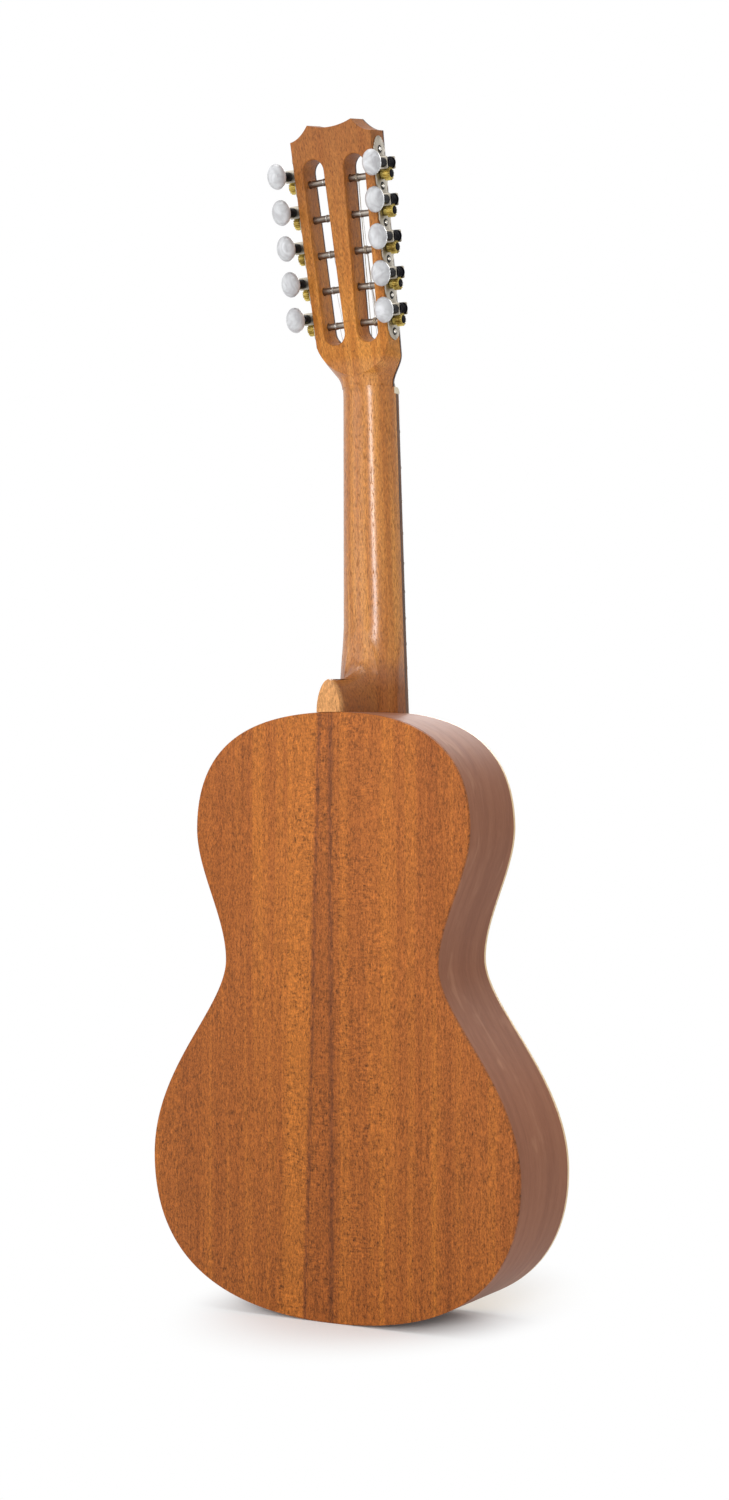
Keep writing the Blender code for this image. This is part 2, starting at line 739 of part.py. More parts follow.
def make_bridge():
    rear, front = saddle_height - 16 * mm, saddle_height + 9 * mm
    half, block = bridge_length / 2, bridge_block_length / 2
    middle = (rear + front) / 2
    wing = [Vector((block + 6 * mm, front)), Vector((block + 14 * mm, middle + 6 * mm)),
            Vector((half - 10 * mm, middle + 4 * mm)), Vector((half - 3 * mm, middle + 8 * mm)),
            Vector((half, middle)),
            Vector((half - 3 * mm, middle - 8 * mm)), Vector((half - 10 * mm, middle - 4 * mm)),
            Vector((block + 14 * mm, middle - 6 * mm)), Vector((block + 6 * mm, rear))]
    outline = wing + [Vector((-p.x, p.y)) for p in reversed(wing)]
    bridge = add_object("bridge", plate_mesh("bridge", outline, bridge_wing_thickness), board_wood,
                        upright(-clearance))
    low = -clearance - 0.5 * mm
    high = -clearance - bridge_height
    valley = -clearance - bridge_wing_thickness - 0.2 * mm
    profile = [(front - 0.2 * mm, low), (front - 0.2 * mm, high + 2 * mm), (front - 3 * mm, high),
               (saddle_height - 2.6 * mm, high), (saddle_height - 4.0 * mm, valley),
               (saddle_height - 8.6 * mm, valley), (saddle_height - 9.4 * mm, high + 1 * mm),
               (rear + 0.2 * mm, high + 1 * mm), (rear + 0.2 * mm, low)]
    rings = [[(side * block, y, z) for z, y in profile] for side in (1, -1)]
    combine(bridge, add_cutter("bridge_block", loft_mesh("bridge_block", rings)), "UNION")
    slot_half = saddle_thickness / 2 + clearance
    slot = box_mesh("saddle_slot", (-saddle_length / 2 - clearance, high - 3 * mm, saddle_height - slot_half),
                    (saddle_length / 2 + clearance, high + saddle_slot_depth + clearance,
                     saddle_height + slot_half))
    combine(bridge, add_cutter("saddle_slot_cutter", slot), "DIFFERENCE")
    for number in range(10):
        x = string_across(number, course_spacing_at_bridge, pair_spacing_at_bridge)
        hole = rod_mesh("string_hole", string_hole_radius, rear - 2 * mm, saddle_height - 7 * mm, 6)
        cutter = add_cutter("string_hole_%d" % number, hole, Matrix.Translation((x, string_anchor(), 0)))
        combine(bridge, cutter, "DIFFERENCE")
    top = -string_at_saddle + largest_string / 2 + clearance
    half = saddle_thickness / 2
    bottom = high + saddle_slot_depth
    profile = [(saddle_height + half, bottom), (saddle_height + half, top + 1 * mm),
               (saddle_height + 0.6 * mm, top), (saddle_height - 0.6 * mm, top),
               (saddle_height - half, top + 1 * mm), (saddle_height - half, bottom)]
    rings = [[(side * saddle_length / 2, y, z) for z, y in profile] for side in (1, -1)]
    add_object("saddle", loft_mesh("saddle", rings), bone)


def string_anchor():
    """Depth of the string holes through the tie block."""
    return -clearance - bridge_height + 3.0 * mm


# Tuning machines

def machine_frame(side, number):
    """Frame on the headstock's side at a post: Z out of the wood, X up the headstock."""
    distance = first_post + number * machine_pitch
    origin = Vector((side * headstock_half_width(distance), post_depth, distance))
    out = Vector((side * math.cos(side_lean), 0, -math.sin(side_lean)))
    up = Vector((side * math.sin(side_lean), 0, math.cos(side_lean)))
    third = out.cross(up)
    local = Matrix((up, third, out)).transposed().to_4x4()
    return headstock_frame @ Matrix.Translation(origin) @ local


def worm_frame(side, number):
    """Frame of a worm: Z along its shaft towards the button, X towards the gear."""
    place = machine_frame(side, number)
    back = (headstock_frame.to_3x3() @ Vector((0, 1, 0))).normalized()
    towards_gear = -place.col[0].to_3d()
    third = back.cross(towards_gear)
    local = Matrix((towards_gear, third, back)).transposed().to_4x4()
    centre = place @ Vector((axle_distance, 0, worm_offset))
    return Matrix.Translation(centre) @ local


def gear_wheel_mesh():
    """Fourteen slanting teeth, cut to the worm's lead angle."""
    root = gear_pitch_radius - tooth_dedendum
    tip = gear_pitch_radius + tooth_addendum
    pitch = 2 * math.pi / gear_teeth
    half = tooth_share * pitch / 2
    slope = math.tan(math.radians(20))
    at_tip = half - tooth_addendum * slope / tip
    at_root = half + tooth_dedendum * slope / root
    twist = worm_lead / (2 * math.pi * worm_pitch_radius) / gear_pitch_radius
    rings = []
    for level in (-0.5, 0.5):
        z = worm_offset + level * gear_thickness
        ring = []
        for tooth in range(gear_teeth):
            middle = (tooth + 0.5) * pitch + twist * level * gear_thickness
            for radius, angle in ((root, -at_root), (tip, -at_tip), (tip, at_tip), (root, at_root)):
                ring.append((radius * math.cos(middle + angle), radius * math.sin(middle + angle), z))
        rings.append(ring)
    return loft_mesh("gear_wheel", rings)


def make_gear_mesh():
    """The post, the toothed wheel and the screw that holds it."""
    inner, outer = worm_offset - gear_thickness / 2, worm_offset + gear_thickness / 2
    head = post_radius + 0.5 * mm
    profile = [(0, outer + 1.5 * mm), (head * 0.7, outer + 1.2 * mm), (head, outer + 0.4 * mm),
               (head, inner - 0.8 * mm), (post_radius, inner - 0.8 * mm), (post_radius, -post_length),
               (0, -post_length)]
    wheel = add_cutter("gear_wheel", gear_wheel_mesh())
    post = bpy.data.objects.new("gear_post", lathe_mesh("gear_post", profile, 8))
    cutters.objects.link(post)
    combine(post, wheel, "UNION")
    mesh = smooth(evaluated_mesh(post), 35)
    mesh.name = "gear"
    return mesh


def make_worm_mesh():
    """Shaft, screw thread, collar and end cap in one closed skin, between and past the two ears."""
    root, tip = worm_pitch_radius - tooth_dedendum, worm_pitch_radius + tooth_addendum
    inside = ear_distance - ear_thickness / 2 - running_clearance
    outside = ear_distance + ear_thickness / 2 + running_clearance
    foot = headstock_thickness + button_gap_from_back - post_depth
    slope = math.tan(math.radians(20))
    half_root = tooth_share * worm_lead / 2 + tooth_dedendum * slope
    half_tip = tooth_share * worm_lead / 2 - tooth_addendum * slope
    section = ((root, -half_root), (tip, -half_tip), (tip, half_tip), (root, half_root))
    turn = worm_steps_per_turn
    steps = int(turn * worm_thread_turns)
    bm = bmesh.new()

    def around(radius, height, step):
        angle = 2 * math.pi * step / turn
        return bm.verts.new((radius * math.cos(angle), radius * math.sin(angle), height))

    ridge = []
    for step in range(steps + 1):
        rise = worm_lead * (step - steps / 2) / turn
        ridge.append([around(radius, rise + z, step - steps / 2) for radius, z in section])
    for low, high in zip(ridge, ridge[1:]):
        for i in range(3):
            bm.faces.new((low[i], low[i + 1], high[i + 1], high[i]))
    bm.faces.new(ridge[0])
    bm.faces.new(ridge[-1])
    for step in range(steps - turn):
        bm.faces.new((ridge[step][3], ridge[step + turn][0], ridge[step + turn + 1][0], ridge[step + 1][3]))

    ends = (([(root, -inside), (shaft_radius, -inside), (shaft_radius, -outside), (2.3 * mm, -outside),
              (2.3 * mm, -outside - 1.4 * mm)],
             [point[0] for point in ridge[:turn + 1]], ridge[0][3], -steps / 2),
            ([(root, inside), (shaft_radius, inside), (shaft_radius, outside), (collar_radius, outside),
              (collar_radius, foot - clearance), (shaft_radius, foot - clearance),
              (shaft_radius, foot + button_bore_depth - clearance)],
             [point[3] for point in ridge[:-turn - 2:-1]], ridge[-1][0], steps / 2))
    for profile, edge, far_corner, start in ends:
        way = 1 if start < 0 else -1
        loops = [[around(radius, height, start + way * i) for i in range(turn)] for radius, height in profile]
        for near, far in zip(loops, loops[1:]):
            for i in range(turn):
                j = (i + 1) % turn
                bm.faces.new((near[i], near[j], far[j], far[i]))
        bm.faces.new(loops[-1])
        for i in range(turn - 1):
            bm.faces.new((loops[0][i], loops[0][i + 1], edge[i + 1], edge[i]))
        line = [loops[0][-1], loops[0][0], edge[0], far_corner, edge[turn]]
        for near, far in zip(line, line[1:]):
            bm.faces.new((edge[turn - 1], near, far))
    return smooth(finish_bmesh("worm", bm), 35)


def make_button_mesh():
    """An oval knob, longer up the headstock than across, with a bore for the shaft."""
    foot = headstock_thickness + button_gap_from_back - post_depth
    end = foot + button_length
    bore = shaft_radius + clearance
    profile = [(0, end)]
    for i in range(1, 5):
        angle = math.pi / 2 * i / 4
        profile.append((button_half_height * math.sin(angle) ** 0.9,
                        end - button_length * 0.52 * (1 - math.cos(angle))))
    profile += [(button_half_height * 0.8, foot + 2.4 * mm), (button_foot_radius, foot), (bore, foot),
                (bore, foot + button_bore_depth), (0, foot + button_bore_depth)]
    mesh = lathe_mesh("button", profile, 10)
    oval = button_half_width / button_half_height
    for vertex in mesh.vertices:
        if vertex.co.xy.length > button_foot_radius + 0.1 * mm:
            vertex.co.y *= oval
    return mesh


def make_machines():
    gear_mesh, worm_mesh, button_mesh = make_gear_mesh(), make_worm_mesh(), make_button_mesh()
    for side_name, side in (("left", 1), ("right", -1)):
        make_plate(side_name, side)
        for number in range(machines_per_side):
            label = "%s_%d" % (side_name, number + 1)
            add_object("tuner_gear_" + label, gear_mesh, brass, machine_frame(side, number))
            add_object("tuner_worm_" + label, worm_mesh, black_steel, worm_frame(side, number))
            add_object("tuner_button_" + label, button_mesh, pearl, worm_frame(side, number))


def make_plate(side_name, side):
    """The long plate under one row of machines, with an ear at each end of every worm."""
    place = machine_frame(side, 0)
    half = []
    tip = plate_low_end - first_post
    for distance, width in ((tip, 0.12), (tip + 0.8 * mm, 0.6), (tip + 2 * mm, 0.9), (tip + 3 * mm, 1.0)):
        half.append(Vector((distance, plate_end_half_width * width)))
    for number in range(machines_per_side):
        post = number * machine_pitch
        for distance, width in ((post - screw_drop - 1.5 * mm, plate_waist_half_width),
                                (post - screw_drop + 1.5 * mm, plate_half_width),
                                (post + 2.0 * mm, plate_half_width),
                                (post + axle_distance - ear_half_width, plate_waist_half_width)):
            half.append(Vector((distance, width)))
    last = (machines_per_side - 1) * machine_pitch + machine_pitch - screw_drop
    half += [Vector((last - 4 * mm, plate_waist_half_width)),
             Vector((last - 1 * mm, plate_half_width * 0.95)),
             Vector((last + 2 * mm, plate_half_width * 0.95)),
             Vector((last + 6 * mm, plate_half_width * 0.62)),
             Vector((last + 8.5 * mm, plate_half_width * 0.15))]
    outline = half + [Vector((p.x, -p.y)) for p in reversed(half)]
    sheet = loft_mesh("tuner_plate", [[(p.x, p.y, level) for p in outline] for level in (0, plate_thickness)])
    shift = Matrix.Translation((0, 0, clearance))
    plate = add_object("tuner_plate_" + side_name, sheet, nickel, place @ shift)

    reach = worm_offset - clearance + ear_half_width
    for number in range(machines_per_side):
        worm = number * machine_pitch + axle_distance
        for end in (-1, 1):
            ear = ear_mesh(reach)
            turn = (Matrix.Translation((worm, end * ear_distance + ear_thickness / 2, 0))
                    @ Matrix.Rotation(math.pi / 2, 4, "X"))
            cutter = add_cutter("ear_%s_%d_%d" % (side_name, number, end + 1), ear, place @ shift @ turn)
            combine(plate, cutter, "UNION")
    for number in range(machines_per_side):
        post = number * machine_pitch
        hole = rod_mesh("plate_hole", post_radius + running_clearance, -3 * mm, 3 * mm, 8)
        at_post = place @ Matrix.Translation((post, 0, 0))
        combine(plate, add_cutter("plate_hole_%s_%d" % (side_name, number), hole, at_post), "DIFFERENCE")
        bore = rod_mesh("ear_bore", shaft_radius + running_clearance, -10 * mm, 10 * mm, 6)
        at_worm = (place @ Matrix.Translation((post + axle_distance, 0, worm_offset))
                   @ Matrix.Rotation(math.pi / 2, 4, "X"))
        combine(plate, add_cutter("ear_bore_%s_%d" % (side_name, number), bore, at_worm), "DIFFERENCE")


def ear_mesh(reach):
    """A tab that stands up from the plate, with a round end."""
    middle = reach - ear_half_width
    points = [Vector((-ear_half_width, 0.3 * mm)), Vector((ear_half_width, 0.3 * mm))]
    for i in range(4):
        angle = math.pi * i / 3
        points.append(Vector((ear_half_width * math.cos(angle), middle + ear_half_width * math.sin(angle))))
    return plate_mesh("ear", points, ear_thickness)


# Strings

def string_route(number):
    """From the tie block over the saddle and the nut to the post, then round it."""
    radius = string_diameters[number] * mm / 2
    bridge_x = string_across(number, course_spacing_at_bridge, pair_spacing_at_bridge)
    nut_x = string_across(number, course_spacing_at_nut, pair_spacing_at_nut)
    rear = saddle_height - 16 * mm
    points = [Vector((bridge_x, string_anchor(), rear - string_past_bridge)),
              Vector((bridge_x, string_anchor(), saddle_height - 8.8 * mm)),
              Vector((bridge_x, -string_at_saddle, saddle_height - 0.3 * mm)),
              Vector((bridge_x, -string_at_saddle, saddle_height + 0.3 * mm)),
              Vector((nut_x, -string_at_nut, nut_height)),
              Vector((nut_x, -string_at_nut + 0.3 * mm, nut_height + nut_thickness * 0.55))]
    side = 1 if number >= 5 else -1
    rank = (9 - number) if side > 0 else number
    place = machine_frame(side, rank)
    post_x, post_centre = place.col[2].to_3d(), place.translation
    inverse = headstock_frame.inverted()
    start = inverse @ points[-1]
    across = (15.8, 15.3, 14.4, 13.9, 13.4)[rank] * mm * side
    centre = inverse @ post_centre
    axis = (inverse.to_3x3() @ post_x).normalized()
    reach = (across - centre.x) / axis.x
    middle = centre + axis * reach
    coil = post_radius + clearance + radius
    offset = Vector((start.z - middle.z, start.y - middle.y))
    bearing = math.atan2(offset.y, offset.x) + math.acos(coil / offset.length)
    points_per_turn = 24
    pitch = (2 * radius + winding_gap) * side
    total = int(points_per_turn * winding_turns)
    for i in range(total + 1):
        turn = 2 * math.pi * i / points_per_turn
        angle = bearing + turn
        across_now = middle + axis * (pitch * side * i / points_per_turn)
        local = across_now + Vector((0, coil * math.sin(angle), coil * math.cos(angle)))
        points.append(headstock_frame @ local)
    ahead = (points[-1] - points[-2]).normalized()
    points.append(points[-1] + ahead * string_tail)
    return points, radius


def winding_self_gap(points, radius):
    """Least gap between turns, measured on the points of the coil that lie half a turn or more apart."""
    coil = points[6:]
    least = 1.0
    for i, a in enumerate(coil):
        for b in coil[i + 12:]:
            least = min(least, (a - b).length - 2 * radius)
    return least


def make_strings():
    least = 1.0
    for number in range(10):
        points, radius = string_route(number)
        least = min(least, winding_self_gap(points, radius))
        name = "string_%d%s" % (5 - number // 2, "ab"[number % 2])
        add_object(name, tube_mesh(name, points, radius, 1), string_steel)
    print("least gap of a winding to itself: %.2f mm" % (least / mm))


clear_scene()
parts = new_collection("ten_string_viola")
cutters = new_collection("cutters")
root = bpy.data.objects.new("viola_frame", None)
parts.objects.link(root)

spruce = new_material("spruce", (0.80, 0.62, 0.38), 0.45)
back_wood = new_material("back_mahogany", (0.40, 0.15, 0.05), 0.5)
side_wood = new_material("side_mahogany", (0.25, 0.12, 0.08), 0.45)
neck_wood = new_material("neck_mahogany", (0.55, 0.25, 0.10), 0.35)
veneer_wood = new_material("headstock_veneer_wood", (0.10, 0.05, 0.04), 0.4)
board_wood = new_material("dark_hardwood", (0.06, 0.035, 0.025), 0.45)
block_wood = new_material("block_wood", (0.62, 0.42, 0.22), 0.7)
brace_wood = new_material("brace_spruce", (0.78, 0.60, 0.36), 0.7)
rosette_wood = new_material("rosette_wood", (0.20, 0.09, 0.04), 0.5)
bone = new_material("bone", (0.85, 0.80, 0.66), 0.35)
pearl = new_material("pearl_plastic", (0.80, 0.79, 0.77), 0.2)
nickel = new_material("nickel", (0.62, 0.58, 0.52), 0.3, 1.0)
brass = new_material("brass", (0.72, 0.55, 0.20), 0.3, 1.0)
black_steel = new_material("black_steel", (0.02, 0.02, 0.025), 0.35, 0.6)
string_steel = new_material("string_steel", (0.70, 0.68, 0.64), 0.25, 1.0)

make_soundboard()
make_back()
make_sides()
make_blocks()
make_cross_braces()
make_neck()
make_fingerboard()
make_nut()
make_bridge()
make_machines()
make_strings()
root.location = (0, -middle_depth, -back_thickness * math.sin(back_lean))
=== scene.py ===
# Ten-string viola: the fine pieces, woods and metals, light and camera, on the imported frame
import math

import bpy
from mathutils import Matrix, Vector
from mathutils.geometry import interpolate_bezier


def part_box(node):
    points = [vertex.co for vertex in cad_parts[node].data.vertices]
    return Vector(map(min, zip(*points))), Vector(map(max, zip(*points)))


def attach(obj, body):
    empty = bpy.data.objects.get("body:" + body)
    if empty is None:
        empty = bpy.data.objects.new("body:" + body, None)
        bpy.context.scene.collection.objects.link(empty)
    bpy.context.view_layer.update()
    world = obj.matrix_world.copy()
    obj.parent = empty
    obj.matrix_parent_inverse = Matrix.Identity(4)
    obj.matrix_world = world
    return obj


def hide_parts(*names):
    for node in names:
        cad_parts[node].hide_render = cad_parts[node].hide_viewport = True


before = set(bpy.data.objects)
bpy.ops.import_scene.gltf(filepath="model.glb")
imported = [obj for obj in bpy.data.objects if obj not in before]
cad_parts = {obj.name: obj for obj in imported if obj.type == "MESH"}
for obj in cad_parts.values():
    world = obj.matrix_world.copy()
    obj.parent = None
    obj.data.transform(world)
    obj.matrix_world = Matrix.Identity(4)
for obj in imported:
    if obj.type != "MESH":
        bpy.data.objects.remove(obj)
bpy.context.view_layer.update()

# All drawing below is in millimetres: X across, soundboard's face at depth 0, height from the tail
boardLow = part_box("soundboard")[0]
drawing = Matrix.Translation((0, boardLow[1], boardLow[2])) @ Matrix.Scale(0.001, 4)

soundBox = {
    "length": 437.5, "lowerBout": 307.0, "waist": 178.0, "upperBout": 229.5,
    "lowerHeight": 110.5, "waistHeight": 257.0, "upperHeight": 353.0,
    "depthAtTail": 80.0, "depthAtNeck": 68.5,
    "board": 2.8, "back": 2.6, "rib": 2.2, "lining": 3.6, "liningWidth": 13.0,
    "holeRadius": 39.0, "holeHeight": 311.0,
    "rosetteInner": 43.0, "rosetteWidth": 7.0, "rosetteDepth": 1.1,
    "backRounding": 0.55, "boardRounding": 0.45,
    "liningFrom": 36, "liningFoot": 5.0,    # the linings stop short of the blocks, and their feet slope
    "strutHeight": 6.0, "strutWidth": 5.0,
    "strutBelow": 95, "strutAbove": 55,     # how far the struts run below and above the saddle
    "fanSpread": 48, "fanNarrowing": 22,    # the outer struts' distance from the middle, and how it closes
    "spacing": 3.0,     # between the points of the outline
}
scale = {
    "length": 500.0, "fretsToBody": 11, "frets": 17, "compensation": 1.5,
    "dots": (5, 7, 10, 12), "dotRadius": 2.6,
    "boardThick": 4.2, "fretHeight": 1.0, "fretWidth": 2.2, "overhang": 5.0,
    "widthAtNut": 41.9, "widthAtBody": 50.3, "nutThick": 4.8, "nutSink": 2.0,
    "overFirst": 0.5, "overTwelfth": 2.3,
    "nutCourse": 8.4, "nutPair": 2.4, "bridgeCourse": 13.6, "bridgePair": 3.2,
    "gauges": [0.80, 0.45, 0.70, 0.40, 0.60, 0.35, 0.40, 0.40, 0.34, 0.34],
}
gap = 0.3        # the frame's gap between glued pieces
nutHeight = soundBox["length"] + scale["length"] * (1 - 2 ** (-scale["fretsToBody"] / 12))
saddleHeight = nutHeight - scale["length"] - scale["compensation"]
stringAtNut = scale["boardThick"] + gap + scale["fretHeight"] + scale["overFirst"]
stringAtSaddle = stringAtNut + 2 * (scale["overTwelfth"] - scale["overFirst"])
backSlope = (soundBox["depthAtNeck"] - soundBox["depthAtTail"]) / soundBox["length"]
backLean = math.atan(backSlope)


# modelling, piece by piece with the operators used by hand

toFront = Matrix.Rotation(math.pi / 2, 4, "X")     # turns what points up towards the front


def shift(x, y, z):
    return Matrix.Translation((x, y, z))


def deselect():
    bpy.ops.object.select_all(action="DESELECT")


def only(piece, *others):
    deselect()
    for one in (piece, *others):
        one.select_set(True)
    bpy.context.view_layer.objects.active = piece


def pick(piece, kind, test):
    # goes into edit mode with only the wanted corners, edges or faces selected
    only(piece)
    bpy.ops.object.mode_set(mode="EDIT")
    bpy.ops.mesh.select_mode(type=kind)
    bpy.ops.mesh.select_all(action="DESELECT")
    bpy.ops.object.mode_set(mode="OBJECT")
    items = {"VERT": piece.data.vertices, "EDGE": piece.data.edges, "FACE": piece.data.polygons}[kind]
    for item in items:
        item.select = bool(test(item))
    bpy.ops.object.mode_set(mode="EDIT")


def objectMode():
    bpy.ops.object.mode_set(mode="OBJECT")


def editAll():
    # edit mode, with the whole mesh selected
    bpy.ops.object.mode_set(mode="EDIT")
    bpy.ops.mesh.select_all(action="SELECT")


def tidyMesh(piece, merge=0.0005):
    only(piece)
    editAll()
    bpy.ops.mesh.remove_doubles(threshold=merge)
    bpy.ops.mesh.normals_make_consistent(inside=False)
    objectMode()


def plate(name, points, low, high, rounding=0.0, segments=3, both=False):
    # a flat outline, thickened upwards, with its rim rounded
    deselect()
    bpy.ops.mesh.primitive_circle_add(vertices=len(points), radius=1, fill_type="NGON")
    piece = bpy.context.object
    piece.name = name
    for vertex, point in zip(piece.data.vertices, points):
        vertex.co = (point[0], point[1], low)
    editAll()
    bpy.ops.mesh.extrude_region_move(TRANSFORM_OT_translate={"value": (0, 0, high - low)})
    editAll()
    bpy.ops.mesh.normals_make_consistent(inside=False)
    objectMode()
    if rounding:
        corners = piece.data.vertices
        levels = (low, high) if both else (high,)
        pick(piece, "EDGE", lambda edge: any(all(abs(corners[v].co.z - level) < 0.001 for v in edge.vertices)
                                             for level in levels))
        bpy.ops.mesh.bevel(offset=rounding, segments=segments, affect="EDGES", clamp_overlap=True)
        objectMode()
    return piece


def skin(name, rings):
    # a grid laid round the rings, its seam and ends closed
    count = len(rings[0])
    deselect()
    bpy.ops.mesh.primitive_grid_add(x_subdivisions=count, y_subdivisions=len(rings) - 1, size=1)
    piece = bpy.context.object
    piece.name = name
    for row, ring in enumerate(rings):
        for column in range(count + 1):
            piece.data.vertices[row * (count + 1) + column].co = ring[column % count]
    editAll()
    bpy.ops.mesh.remove_doubles(threshold=0.0005)
    editAll()
    bpy.ops.mesh.fill_holes(sides=0)
    editAll()
    bpy.ops.mesh.normals_make_consistent(inside=False)
    objectMode()
    return piece


def turned(name, profile, steps):
    # (radius, height) points turned round the Z axis
    rings = []
    for radius, height in profile:
        ring = []
        for i in range(steps):
            angle = 2 * math.pi * i / steps
            ring.append((radius * math.cos(angle), radius * math.sin(angle), height))
        rings.append(ring)
    return skin(name, rings)


def block(name, half, depths, heights):
    # a box this far each way across, between two depths and two heights
    (front, back), (low, high) = depths, heights
    corners = ((front, low), (back, low), (back, high), (front, high))
    return skin(name, [[(x, y, z) for y, z in corners] for x in (-half, half)])


def rod(name, radius, low, high, sides=24):
    return turned(name, [(radius, low), (radius, high)], sides)


def wire(name, points, radius):
    curve = bpy.data.curves.new(name, "CURVE")
    curve.dimensions = "3D"
    curve.bevel_depth = radius
    curve.bevel_resolution = 2
    curve.use_fill_caps = True
    spline = curve.splines.new("POLY")
    spline.points.add(len(points) - 1)
    for point, place in zip(spline.points, points):
        point.co = (*place, 1)
    piece = bpy.data.objects.new(name, curve)
    bpy.context.scene.collection.objects.link(piece)
    only(piece)
    bpy.ops.object.convert(target="MESH")
    piece = bpy.context.object
    tidyMesh(piece)
    return piece


def bothEnds(ends):
    # (share of the half length, value) from one end inwards, then outwards to the other
    return [(-x, value) for x, value in ends] + list(reversed(ends))


def bar(name, profile, half, ends):
    # a profile drawn out across and sunk a little at its ends; only its foot stays level
    foot = profile[0][1]
    return skin(name, [[(x * half, y if y == foot else y + sink, z) for z, y in profile]
                       for x, sink in bothEnds(ends)])


def modify(piece, kind, **settings):
    only(piece)
    bpy.ops.object.modifier_add(type=kind)
    change = piece.modifiers[-1]
    for key, value in settings.items():
        setattr(change, key, value)
    bpy.ops.object.modifier_apply(modifier=change.name)


def cut(piece, tool, operation="DIFFERENCE"):
    modify(piece, "BOOLEAN", solver="EXACT", operation=operation, object=tool)
    bpy.data.objects.remove(tool, do_unlink=True)


def place(piece, matrix):
    # applies a frame to the mesh, still in millimetres
    only(piece)
    piece.matrix_world = matrix @ piece.matrix_world
    bpy.ops.object.transform_apply(location=True, rotation=True, scale=True)
    return piece


def copyOf(piece, name):
    twin = piece.copy()
    twin.data = piece.data.copy()
    twin.name = name
    bpy.context.scene.collection.objects.link(twin)
    return twin


def join(pieces):
    only(*pieces)
    bpy.ops.object.join()
    return bpy.context.object


def finishPiece(piece, name, material, nodes, angle=35, body="instrument"):
    place(piece, drawing)
    piece.name = name
    piece.data.name = name
    piece.data.materials.clear()
    piece.data.materials.append(material)
    only(piece)
    bpy.ops.object.shade_smooth_by_angle(angle=math.radians(angle))
    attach(piece, body)
    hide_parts(*nodes)
    return piece


# materials, written as sums on node outputs

def tone(red, green, blue):
    # a colour as it looks on a screen, made linear
    shares = [c / 255 for c in (red, green, blue)]
    return tuple(s / 12.92 if s <= 10 / 255 else ((s + 0.055) / 1.055) ** 2.4 for s in shares)


class Value:
    # one node output that can be reckoned with like a number
    def __init__(self, finish, socket):
        self.finish = finish
        self.socket = socket

    def reckon(self, operation, *others, swapped=False, clamp=False):
        values = [self, *others]
        if swapped:
            values.reverse()
        return self.finish.node("Math", {"operation": operation, "use_clamp": clamp}, dict(enumerate(values)))

    def __add__(self, other):
        return self.reckon("ADD", other)

    def __mul__(self, other):
        return self.reckon("MULTIPLY", other)

    def __sub__(self, other):
        return self.reckon("SUBTRACT", other)

    def __rsub__(self, other):
        return self.reckon("SUBTRACT", other, swapped=True)

    def __truediv__(self, other):
        return self.reckon("DIVIDE", other)

    def __pow__(self, other):
        return self.reckon("POWER", other)

    def __gt__(self, other):
        return self.reckon("GREATER_THAN", other)

    __radd__ = __add__
    __rmul__ = __mul__

    def size(self):
        return self.reckon("ABSOLUTE")

    def clamp(self):
        return self.reckon("ADD", 0.0, clamp=True)

    def step(self, low, high):
        # 0 below low, 1 above high, eased between; low may be the larger
        return self.finish.node("MapRange", {"interpolation_type": "SMOOTHSTEP"},
                                {0: self, 1: low, 2: high, 3: 0.0, 4: 1.0})


class Nodes:
    # adds nodes to the tree of a material or a world
    def __init__(self, tree):
        self.tree = tree

    def node(self, kind, settings=None, inputs=None, output=0):
        node = self.tree.nodes.new("ShaderNode" + kind)
        for key, value in (settings or {}).items():
            if key == "stops":
                ramp = node.color_ramp
                ramp.elements.remove(ramp.elements[-1])
                ramp.elements[0].position = value[0][0]
                ramp.elements[0].color = (*value[0][1], 1)
                for position, colour in value[1:]:
                    ramp.elements.new(position).color = (*colour, 1)
            else:
                setattr(node, key, value)
        for key, value in (inputs or {}).items():
            self.feed(node.inputs[key], value)
        return Value(self, node.outputs[output])

    def feed(self, socket, value):
        if isinstance(value, Value):
            self.tree.links.new(value.socket, socket)
        elif isinstance(value, tuple) and len(value) == 3 and socket.type == "RGBA":
            socket.default_value = (*value, 1)
        else:
            socket.default_value = value

    def straight(self):
        # 1 where something is seen by the camera, in a mirror or through glass, and 0 where it only lights
        camera, mirror, glass = (self.node("LightPath", output=number) for number in (0, 3, 6))
        return (camera + mirror + glass).clamp()


